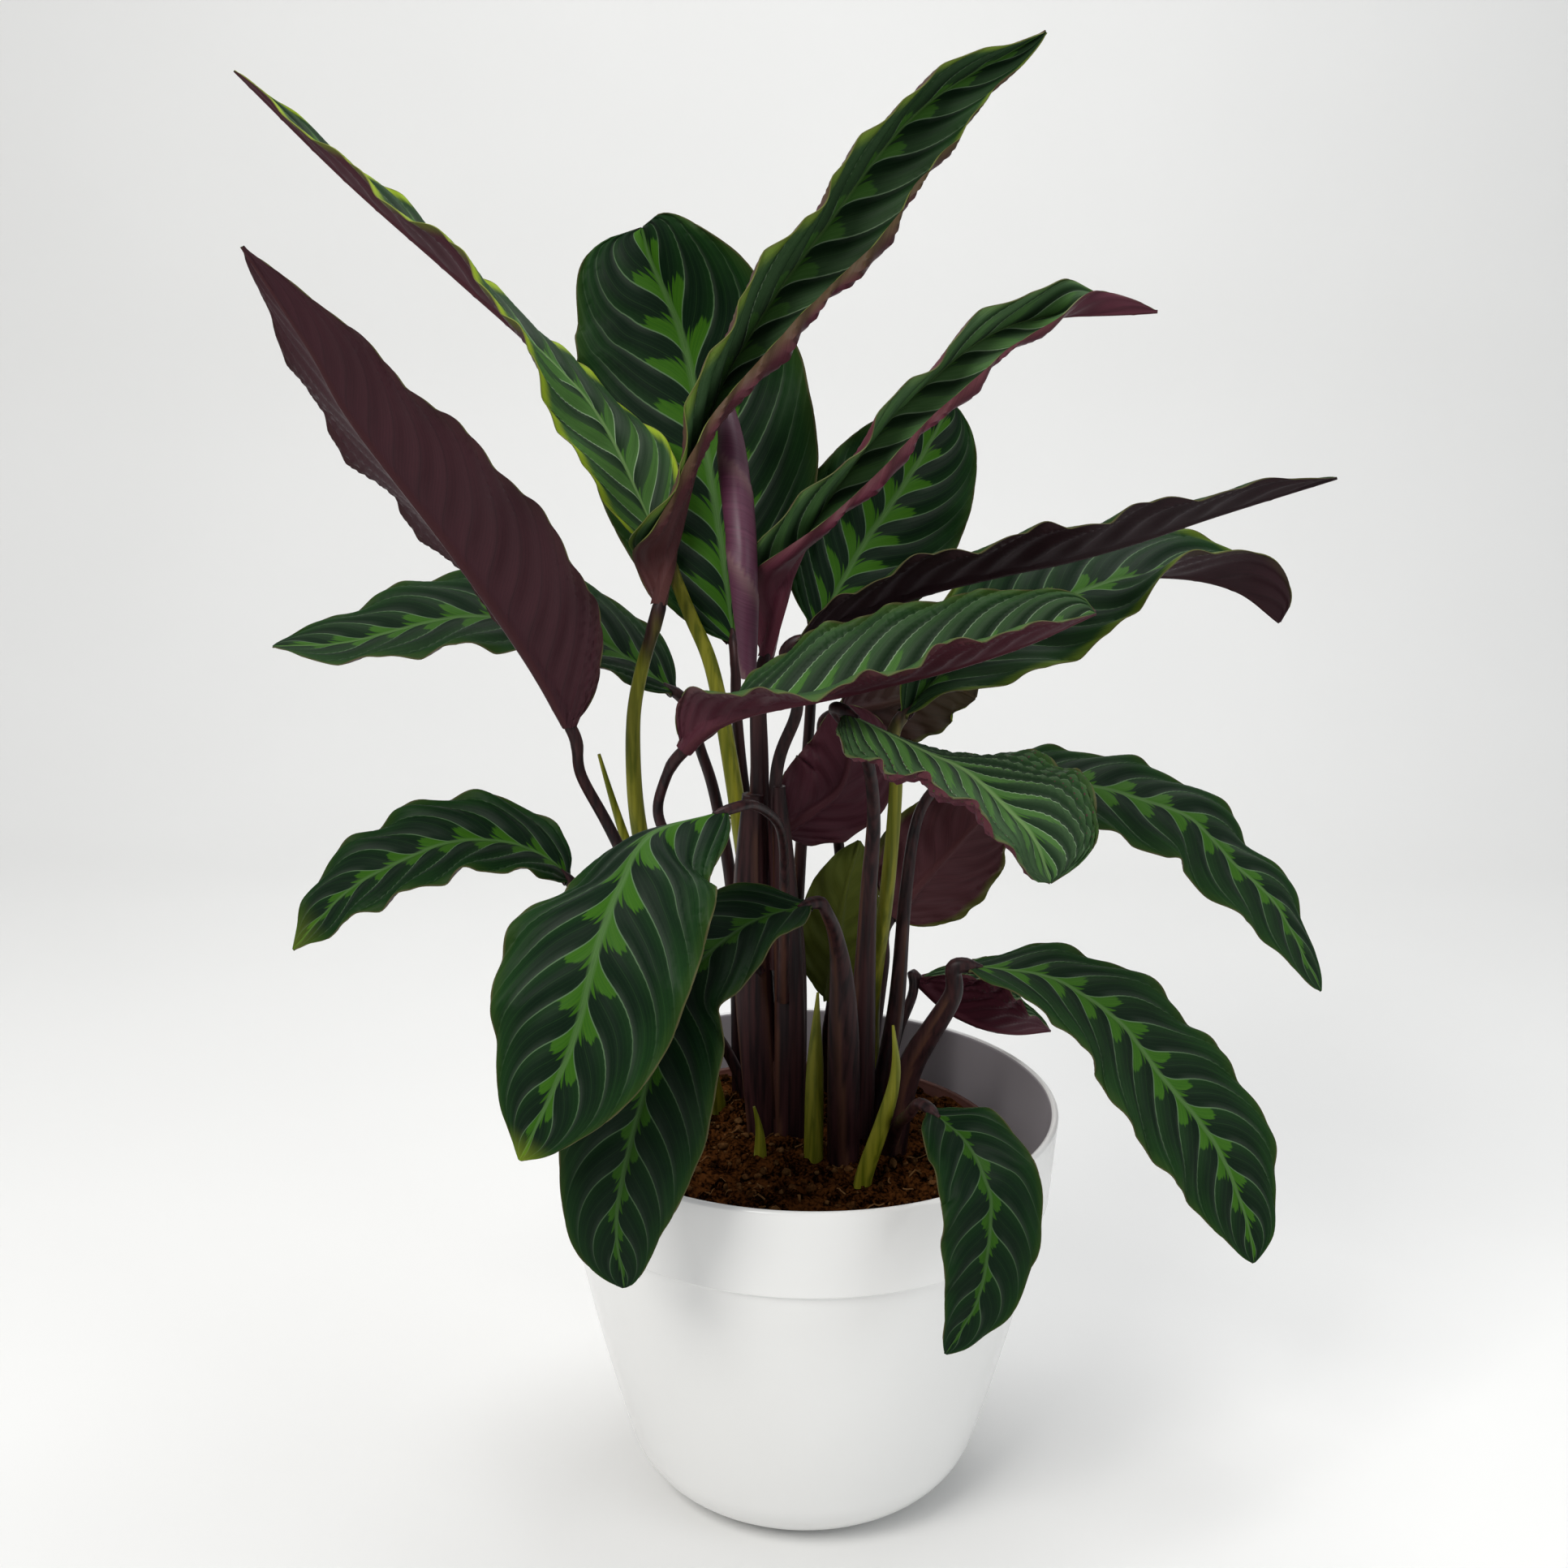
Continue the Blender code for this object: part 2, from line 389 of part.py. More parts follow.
def stem_rings(stem, leaves, grown=0.0):
    """Rings of points up the stem, turned as little as possible from one to the next."""
    course = course_of(stem, leaves)
    length = sum(np.linalg.norm(b - a) for a, b in zip(course, course[1:]))
    rings = max(4, round(length / STEM_RING_SPACING) + 1)
    line, way = along(course, rings)
    radius = steps(stem.radii, np.linspace(0, 1, rings)) + grown
    sides = STEM_SIDES if max(stem.radii) > THIN_STEM else THIN_STEM_SIDES
    turn = np.arange(sides) * 2 * np.pi / sides
    across = np.array([1.0, 0.0, 0.0])
    found = []
    for centre, direction, size in zip(line, way, radius):
        across = unit(across - np.dot(across, direction) * direction)
        other = np.cross(direction, across)
        found.append(centre + size * (np.cos(turn)[:, None] * across + np.sin(turn)[:, None] * other))
    return np.array(found)


def ring_mesh(rings):
    """A closed skin over rings of points, with flat ends."""
    count, sides = rings.shape[:2]
    faces = [tuple(range(sides))[::-1], tuple((count - 1) * sides + side for side in range(sides))]
    for ring in range(count - 1):
        for side in range(sides):
            a, b = ring * sides + side, ring * sides + (side + 1) % sides
            faces += [(a, b, b + sides, a + sides)]
    return rings.reshape(-1, 3), faces


def turned_mesh(profile, segments):
    """A profile of (radius, height) pairs, turned round the Z axis. Its ends are on the axis."""
    turn = np.arange(segments) * 2 * math.pi / segments
    inner = profile[1:-1]
    points = [(0, 0, profile[0][1])]
    for radius, height in inner:
        points += [(radius * math.cos(a), radius * math.sin(a), height) for a in turn]
    points.append((0, 0, profile[-1][1]))
    faces = []
    for side in range(segments):
        following = (side + 1) % segments
        faces.append((0, 1 + following, 1 + side))
        for ring in range(len(inner) - 1):
            a, b = 1 + ring * segments + side, 1 + ring * segments + following
            faces.append((a, b, b + segments, a + segments))
        end = 1 + (len(inner) - 1) * segments
        faces.append((end + side, end + following, len(points) - 1))
    return points, faces


def pot_corner(inset):
    """The rounded corner between the pot's floor and its side, or its inside."""
    radius = POT_CORNER_RADIUS - inset
    centre = POT_BODY_FOOT_RADIUS - POT_CORNER_RADIUS * math.sin(POT_CORNER_TURN)
    return [(centre + radius * math.sin(a), POT_CORNER_RADIUS - radius * math.cos(a))
            for a in np.linspace(0, POT_CORNER_TURN, 6)]


def pot_outside():
    """The outer profile from the floor up to the rim."""
    foot = POT_BODY_FOOT_RADIUS
    corner = pot_corner(0)
    top = POT_HEIGHT - POT_BAND_HEIGHT
    body = []
    for share in np.linspace(0, 1, 6)[1:]:
        radius = foot + (POT_BODY_TOP_RADIUS - foot) * share + POT_BODY_BULGE * 4 * share * (1 - share)
        body.append((radius, corner[-1][1] + (top - corner[-1][1]) * share))
    band = [(POT_BAND_FOOT_RADIUS, top + POT_EDGE), (POT_RIM_RADIUS, POT_HEIGHT - POT_EDGE)]
    return corner + body + band + [(POT_RIM_RADIUS - POT_EDGE / 2, POT_HEIGHT)]


def pot_profile():
    """The outer profile, then the inner one, which follows it down to the inside floor."""
    outside = pot_outside()
    wall = POT_RIM_RADIUS - POT_WALL
    inside = [(wall + POT_EDGE / 2, POT_HEIGHT), (wall, POT_HEIGHT - POT_EDGE)]
    inside += [(radius - POT_WALL, height + POT_EDGE / 2) for radius, height in outside[-4:6:-2]]
    inside += pot_corner(POT_WALL)[::-1]
    return [(0, 0)] + outside + inside + [(0, POT_WALL)]


def inner_foot(inset, rise):
    """The bevelled foot of the grower's pot, of its inside or of the soil: its floor, then its side."""
    floor = POT_WALL + GAP + rise
    across, up = INNER_FOOT_BEVEL
    return [(INNER_FOOT_RADIUS - across - inset, floor), (INNER_FOOT_RADIUS - inset, floor + up)]


def inner_pot_profile():
    top = POT_HEIGHT - INNER_RIM_DROP
    wall_top = INNER_RIM_RADIUS - INNER_LIP
    lip = [(wall_top, top - INNER_LIP_DEPTH), (INNER_RIM_RADIUS, top - INNER_LIP_DEPTH),
           (INNER_RIM_RADIUS, top)]
    foot = inner_foot(0, 0)
    inside = [(wall_top - INNER_WALL, top)] + inner_foot(INNER_WALL, INNER_WALL)[::-1]
    return [(0, foot[0][1])] + foot + lip + inside + [(0, inside[-1][1])]


def soil_height(radius):
    """A low heap round the stems."""
    level = POT_HEIGHT - INNER_RIM_DROP - SOIL_DROP
    return level + SOIL_HEAP * (1 - (radius / INNER_RIM_RADIUS) ** 2)


def soil_mesh():
    foot = inner_foot(INNER_WALL + GAP, INNER_WALL + GAP)
    wall_top = INNER_RIM_RADIUS - INNER_LIP - INNER_WALL
    level = soil_height(INNER_RIM_RADIUS)
    share = (level - foot[1][1]) / (POT_HEIGHT - INNER_RIM_DROP - foot[1][1])
    edge = foot[1][0] + (wall_top - GAP - foot[1][0]) * share - GAP
    rings = [(radius, soil_height(radius)) for radius in SOIL_RINGS[::-1]]
    profile = [(0, foot[0][1])] + foot + [(edge, level)] + rings + [(0, soil_height(0))]
    points, faces = turned_mesh(profile, INNER_SEGMENTS)
    points = np.array(points)
    loose = slice(1 + 3 * INNER_SEGMENTS, None)
    draw = np.random.default_rng(SEED)
    points[loose, 2] += draw.uniform(-SOIL_LUMPS, SOIL_LUMPS, len(points[loose]))
    return points, faces


def material(name):
    (red, green, blue), roughness = COLOURS[name]
    made = bpy.data.materials.get(name) or bpy.data.materials.new(name)
    made.use_nodes = True
    shader = made.node_tree.nodes["Principled BSDF"]
    shader.inputs["Base Color"].default_value = (red, green, blue, 1)
    shader.inputs["Roughness"].default_value = roughness
    shader.inputs["Metallic"].default_value = 0
    return made


def new_object(name, shape, colour):
    points, faces = shape
    mesh = bpy.data.meshes.new(name)
    mesh.from_pydata([tuple(map(float, point)) for point in points], [], faces)
    mesh.shade_smooth()
    mesh.set_sharp_from_angle(angle=SHARP_ANGLE)
    mesh.materials.append(material(colour))
    made = bpy.data.objects.new(name, mesh)
    bpy.context.scene.collection.objects.link(made)
    return made


def join(base, others, operation):
    """One Boolean with a collection of objects, applied, after which those objects are removed."""
    group = bpy.data.collections.new("others")
    for other in others:
        group.objects.link(other)
    step = base.modifiers.new("join", "BOOLEAN")
    step.operation = operation
    step.operand_type = "COLLECTION"
    step.collection = group
    step.solver = "MANIFOLD"
    bpy.context.view_layer.update()
    finished = bpy.data.meshes.new_from_object(base.evaluated_get(bpy.context.evaluated_depsgraph_get()))
    base.modifiers.remove(step)
    base.data = finished
    for other in others:
        bpy.data.objects.remove(other)
    bpy.data.collections.remove(group)


def build_stems(leaves):
    """One node for each shoot: its stalks and sheaths are joined where they meet."""
    for shoot in dict.fromkeys(stem.shoot for stem in STEMS):
        colour = "stalk_green" if shoot in GREEN_SHOOTS else "stalk_dark"
        if shoot == "leaf_rolled":
            colour = "leaf_purple"
        parts = [ring_mesh(stem_rings(stem, leaves)) for stem in STEMS if stem.shoot == shoot]
        made = [new_object(shoot, parts[0], colour)]
        made += [new_object(f"{shoot}.{number}", part, colour) for number, part in enumerate(parts[1:])]
        if len(made) > 1:
            join(made[0], made[1:], "UNION")


def build_soil(leaves):
    """The soil, with a plain hole for each stem that stands in it."""
    soil = new_object("soil", soil_mesh(), "soil")
    holes = []
    for number, stem in enumerate(stem for stem in STEMS if stem.rooted):
        rings = stem_rings(stem, leaves, GAP)
        rings[0, :, 2] -= GAP
        deep = 2 + int((rings[:, :, 2].min(axis=1) < soil_height(0) + 2 * SOIL_LUMPS).sum())
        holes.append(new_object(f"hole.{number}", ring_mesh(rings[:deep]), "soil"))
    join(soil, holes, "DIFFERENCE")


def main():
    for old in list(bpy.data.objects):
        bpy.data.objects.remove(old)
    leaves = {leaf.name: leaf for leaf in LEAVES}
    new_object("pot", turned_mesh(pot_profile(), POT_SEGMENTS), "white_plastic")
    new_object("inner_pot", turned_mesh(inner_pot_profile(), INNER_SEGMENTS), "brown_plastic")
    for leaf in LEAVES:
        new_object(leaf.name, blade_mesh(leaf), leaf.colour)
    build_stems(leaves)
    build_soil(leaves)


main()
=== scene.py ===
"""The looks of a potted calathea: striped velvety leaves, stalks, soil and a white cover pot.

Metres, +Z up, and millimetres in the tables of leaves and stalks. The origin is on the floor,
under the middle of the pot. The side that is seen first looks towards -Y. A leaf's points run
from its stalk to its tip.
"""

import math
from dataclasses import dataclass

import bmesh
import bpy
import numpy as np
from mathutils import Matrix, Vector
from mathutils.kdtree import KDTree


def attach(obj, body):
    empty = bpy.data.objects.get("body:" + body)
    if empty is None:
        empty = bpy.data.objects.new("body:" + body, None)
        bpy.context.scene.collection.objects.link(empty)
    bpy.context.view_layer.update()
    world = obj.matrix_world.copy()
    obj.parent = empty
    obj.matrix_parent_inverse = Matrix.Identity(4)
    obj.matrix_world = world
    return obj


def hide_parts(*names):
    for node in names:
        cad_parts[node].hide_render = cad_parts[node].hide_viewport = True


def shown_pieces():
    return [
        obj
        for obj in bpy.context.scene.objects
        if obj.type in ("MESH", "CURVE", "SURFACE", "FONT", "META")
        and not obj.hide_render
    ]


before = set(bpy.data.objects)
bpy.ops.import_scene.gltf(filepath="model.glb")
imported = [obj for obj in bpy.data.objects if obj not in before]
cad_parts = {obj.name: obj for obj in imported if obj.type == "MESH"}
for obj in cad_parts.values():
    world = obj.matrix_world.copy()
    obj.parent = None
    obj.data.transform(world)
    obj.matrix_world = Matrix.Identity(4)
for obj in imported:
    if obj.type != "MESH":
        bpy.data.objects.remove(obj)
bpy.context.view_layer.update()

# The cover pot, turned round the Z axis.
POT_HEIGHT = 0.195
POT_RIM_RADIUS = 0.120
POT_BAND_HEIGHT = 0.042
POT_BAND_FOOT_RADIUS = 0.1172
POT_BODY_TOP_RADIUS = 0.1152
POT_BODY_FOOT_RADIUS = 0.086
POT_BODY_BULGE = 0.002
POT_CORNER_RADIUS = 0.038
POT_CORNER_TURN = math.radians(75)
POT_WALL = 0.0035
POT_LEDGE = 0.0016
POT_LIP_RING = 9  # the ring of the rim's rounding where the inside colour starts
GAP = 0.0003
POT_SEGMENTS = 192
CORNER_ROWS = 24
BODY_ROWS = 24
LEDGE_ROWS = 9
BAND_ROWS = 8
RIM_ROWS = 14

# The grower's pot inside it, and the soil that fills it.
INNER_RIM_RADIUS = 0.096
INNER_RIM_DROP = 0.021
INNER_LIP = 0.003
INNER_LIP_DEPTH = 0.008
INNER_LIP_BEVEL = 0.0005
INNER_LIP_ROWS = 12
INNER_WALL = 0.0018
INNER_FOOT_RADIUS = 0.066
INNER_FOOT_BEVEL = (0.018, 0.0065)  # how far in and how far up its edge is cut
INNER_SEGMENTS = 144
SOIL_DROP = 0.004
SOIL_HEAP = 0.006
SOIL_RINGS = 64
SOIL_SEGMENTS = 168
SOIL_LUMPS = ((0.016, 0.0024), (0.0065, 0.0020), (0.0028, 0.0016))  # their size, and their height
LUMP_GRID = 96
CRUMBS = 1500
CRUMB_SIZES = (0.0006, 0.0026)
CRUMB_SMALLNESS = 2.5  # above 1 there are more small crumbs than large ones
CRUMB_STRETCH = (0.6, 1.2)
CRUMB_ROUGHNESS = 0.2
CRUMB_LIFT = (0.1, 0.6)  # how far its middle lies above the soil, as a share of its size
FIBRES = 60
FIBRE_REACH = 0.9
FIBRE_LENGTHS = (0.004, 0.014)
FIBRE_LIFT = (0.0004, 0.0016)
FIBRE_RADII = (0.0002, 0.0005)
FIBRE_POINTS = 6
FIBRE_SIDES = 5
GROUND_SHADE = 0.3  # a crumb's shade is from 0 to 1
FIBRE_SHADE = 1.3

# The blades.
BLADE_ROW = 0.0016
BLADE_HALF = (  # the places of its points, from the midrib to the margin
    0, 0.012, 0.03, 0.06, 0.10, 0.15, 0.20, 0.26, 0.32, 0.38, 0.44, 0.50, 0.56, 0.62, 0.68, 0.74, 0.80,
    0.86, 0.91, 0.95, 0.98, 1.0)
BLADE_THICKNESS = 0.0008
MARGIN_THICKNESS = 0.0005
BLADE_END = 0.0006
BASE_ROUNDNESS = 0.6
STALK_RADIUS = 0.0024
RIB_TIP_RADIUS = 0.0005
RIB_ROUNDING = 1.3  # half the width of the ridge under the midrib, over its height
RIB_GROOVE = 0.0004
RIB_GROOVE_WIDTH = 0.0010
RIB_GROOVE_START = 0.1
ARCH = math.radians(14)
PLEAT = 0.0019
PLEAT_WIDTH = 0.035  # the half width of a blade that has pleats of that height
PLEAT_REACH = 0.35  # the share of the half from which they have it
HUMP_ROUNDNESS = 1.3  # of the rise between two side veins
HUMP_MIDDLE = 0.55
SCALLOP = 0.066  # how much wider the blade is between two side veins
SCALLOP_START = 0.5
SIDE_RIB = 0.00018
SIDE_RIB_WIDTH = 0.05  # as a share of the way to the next side vein
SIDE_RIB_FADE = 0.3
ROLL_WIDTH = 0.25
WAVES = 5.0  # along each margin
RUFFLE_SWEEP = 0.12
RUFFLE_SHIFT = 0.35
USUAL_SHAPE = 0.154  # half width over length, for which the veins' sweep is given
VEIN_RUN = 0.03  # how far a side vein first runs along the midrib, and up to which share of the half
VEIN_RUN_REACH = 0.07
VEIN_SLANT = 0.10
VEIN_BEND = 0.11

# The stalks.
STALK_LEAD = 0.010
STALK_REACH = 0.006  # how far a stalk runs on under its blade
STEM_FOOT_Z = 0.150
STEM_RING = 0.0025
STEM_SIDES = 28
THIN_STEM = 0.0033
THIN_STEM_SIDES = 20
STEM_SMOOTHING = 12
PULVINUS = 0.016  # the length of the swelling under a blade
PULVINUS_FADE = 0.7
PULVINUS_END = (-0.001, 0.002)
PULVINUS_SWELL = 0.16
HIDDEN_NARROWING = 0.55  # of a stalk's end under its blade
LAP_STEP = 0.10  # how far a sheath's edge stands out, as a share of the radius
LAP_MIDDLE = 0.4
LAP_WIDTH = 0.07
LAP_FADE = 0.06
LAP_EDGE = 0.75
FLUTES = 0.025
FLUTE_COUNT = 5
FLUTE_SHIFT = 3
FLUTE_START = 0.2

SHARP_ANGLE = math.radians(50)
SEED = 7

WEDGE_SHARE = 0.48  # how much of the midrib's side the bright feathering takes, from vein to vein

# Colours. A pair is the two ends between which a material is mixed.
LEAF_DARK = ((0.0012, 0.0065, 0.0026), (0.0034, 0.0150, 0.0050))
LEAF_GREEN = ((0.0036, 0.0215, 0.0036), (0.0085, 0.0370, 0.0062))
LEAF_BRIGHT = ((0.016, 0.080, 0.002), (0.046, 0.130, 0.008))
LEAF_YELLOW = ((0.150, 0.270, 0.010), (0.300, 0.360, 0.025))
# Painted sheen: the grey that the velvet shows beside the side veins.
LEAF_PAINTED_SHEEN = (0.070, 0.085, 0.068)
# Painted light and sheen that pale a blade's top.
LEAF_PAINTED_LIGHT = (0.120, 0.220, 0.095)
LEAF_EDGE = (0.120, 0.090, 0.045)
# Side veins: their own colour, and a paler one where painted light is laid.
VEIN = ((0.095, 0.165, 0.080), (0.260, 0.360, 0.220))
SECOND_VEIN = (0.050, 0.130, 0.035)
FINE_VEIN = (0.060, 0.130, 0.050)
MIDRIB = ((0.032, 0.090, 0.016), (0.095, 0.185, 0.058))
# Painted light on the midrib.
MIDRIB_PAINTED_LIGHT = (0.200, 0.320, 0.120)
UNDER_PURPLE = ((0.021, 0.0048, 0.0078), (0.058, 0.0150, 0.0220))
UNDER_GREEN = ((0.060, 0.090, 0.008), (0.120, 0.150, 0.015))
UNDER_VEIN = (0.020, 0.005, 0.008)
UNDER_FINE_VEIN = (0.016, 0.004, 0.007)
UNDER_MIDRIB = (0.046, 0.011, 0.013)
# Painted light on a blade's underside.
UNDER_PAINTED_LIGHT = (0.160, 0.032, 0.058)
# Painted shade on the underside of a leaf that lies in shadow.
UNDER_PAINTED_SHADE = (0.004, 0.0015, 0.0025)
STALK_PURPLE = ((0.0060, 0.0020, 0.0028), (0.036, 0.0120, 0.0125))
STALK_GREEN = ((0.085, 0.100, 0.003), (0.210, 0.205, 0.016))
SHEATH_EDGE = ((0.095, 0.040, 0.022), (0.260, 0.270, 0.050))
ROLLED = ((0.042, 0.010, 0.024), (0.110, 0.032, 0.062))
ROLLED_VEIN = (0.040, 0.012, 0.022)
ROLLED_EDGE = (0.180, 0.110, 0.100)
SOIL_DARK = ((0.0030, 0.0010, 0.0004), (0.075, 0.026, 0.007))
SOIL_PALE = ((0.060, 0.022, 0.007), (0.230, 0.125, 0.050))
BACKDROP = ((0.78, 0.78, 0.77), (0.82, 0.82, 0.81))
# The grain's size, two colours, the roughness and what the grain adds to it, and the gloss.
POT_LOOKS = {
    "pot_outside": (9.0, (0.790, 0.790, 0.775), (0.830, 0.830, 0.818), 0.14, 0.10, 0.5),
    "pot_inside": (14.0, (0.330, 0.305, 0.325), (0.370, 0.345, 0.365), 0.34, 0.15, 0.4),
    "grower_pot": (70.0, (0.055, 0.015, 0.009), (0.110, 0.032, 0.020), 0.40, 0.25, 0.35),
}

# The studio and the camera.
WORLD_COLOUR = (0.95, 0.97, 1.0, 1)
WORLD_STRENGTH = 0.38
LIGHT_TARGET = (0, 0, 0.32)
LIGHTS = (("key", (-0.9, -1.3, 1.7), 0.9, 30, (1.0, 0.98, 0.95)),
          ("fill", (1.4, -1.0, 0.9), 1.0, 7, (0.95, 0.98, 1.0)),
          ("top", (0.2, 0.3, 1.8), 1.0, 16, (1.0, 1.0, 1.0)))
BACKDROP_NEAR = 1.6
BACKDROP_DEPTH = 1.0
BACKDROP_BEND = 0.5
BACKDROP_HEIGHT = 2.6
BACKDROP_HALF_WIDTH = 2.6
BACKDROP_ROWS = 20
CAMERA_PLACE = (-0.0126, -0.8683, 0.5768)
CAMERA_TILT = 14.6
CAMERA_ROLL = 0.6
CAMERA_LENS = 44.72
CAMERA_SENSOR = 36


@dataclass
class Leaf:
    """One blade. Left and right are as seen from above, looking from the stalk to the tip.

    Lengths are given in millimetres and kept in metres. Rows run from base to tip."""
    name: str
    rib: list  # the midrib's course
    width: float  # laid flat, margin to margin, at the widest
    face: list  # where the upper surface looks
    left: tuple = (20, 20, 20)  # degrees by which the left half is raised
    right: tuple = (20, 20, 20)
    curl: tuple = (0, 0)  # further degrees that the left and right halves curl up
    widest: float = 0.42  # share of the length at which it is widest
    tip: float = 0.8  # below 1 the tip is blunter
    ruffle: float = 2.8  # how far its margins wave up and down
    veins: float = 11  # side veins on each half
    wedge: float = 0.30  # how far out the bright feathering reaches, as a share of the half
    rim: float = 0.04  # how yellow its margins are
    ripple: float = 1.0  # how strongly it is pleated
    deep: float = 0.0  # how much painted shade darkens it
    light: tuple = (0, 0)  # how much painted light and sheen pale it, from base to tip
    gold: tuple = (0, 0)  # how yellow it is
    olive: tuple = (0, 0)  # how green the underside is
    roll: tuple = ((0, 0), (1, 1))  # degrees that the right margin rolls up, and the share where it starts

    def __post_init__(self):
        self.rib = np.array(self.rib) / 1000
        self.width = self.width / 1000
        self.ruffle = self.ruffle / 1000


@dataclass
class Stem:
    """One stalk or sheath. Lengths are given in millimetres and kept in metres."""
    course: list  # up from the soil
    radii: tuple  # at even steps
    leaf: str = ""  # the blade that it carries
    rooted: bool = True
    green: tuple = (0, 0)  # how green it is, foot to top
    # The sheath edges that run up it: how many, the turns that they make, where the first starts,
    # and the share of the height that they reach.
    wrap: tuple = (0, 0.5, 0.0, 0.8)

    def __post_init__(self):
        self.course = np.array(self.course) / 1000
        self.radii = np.array(self.radii) / 1000


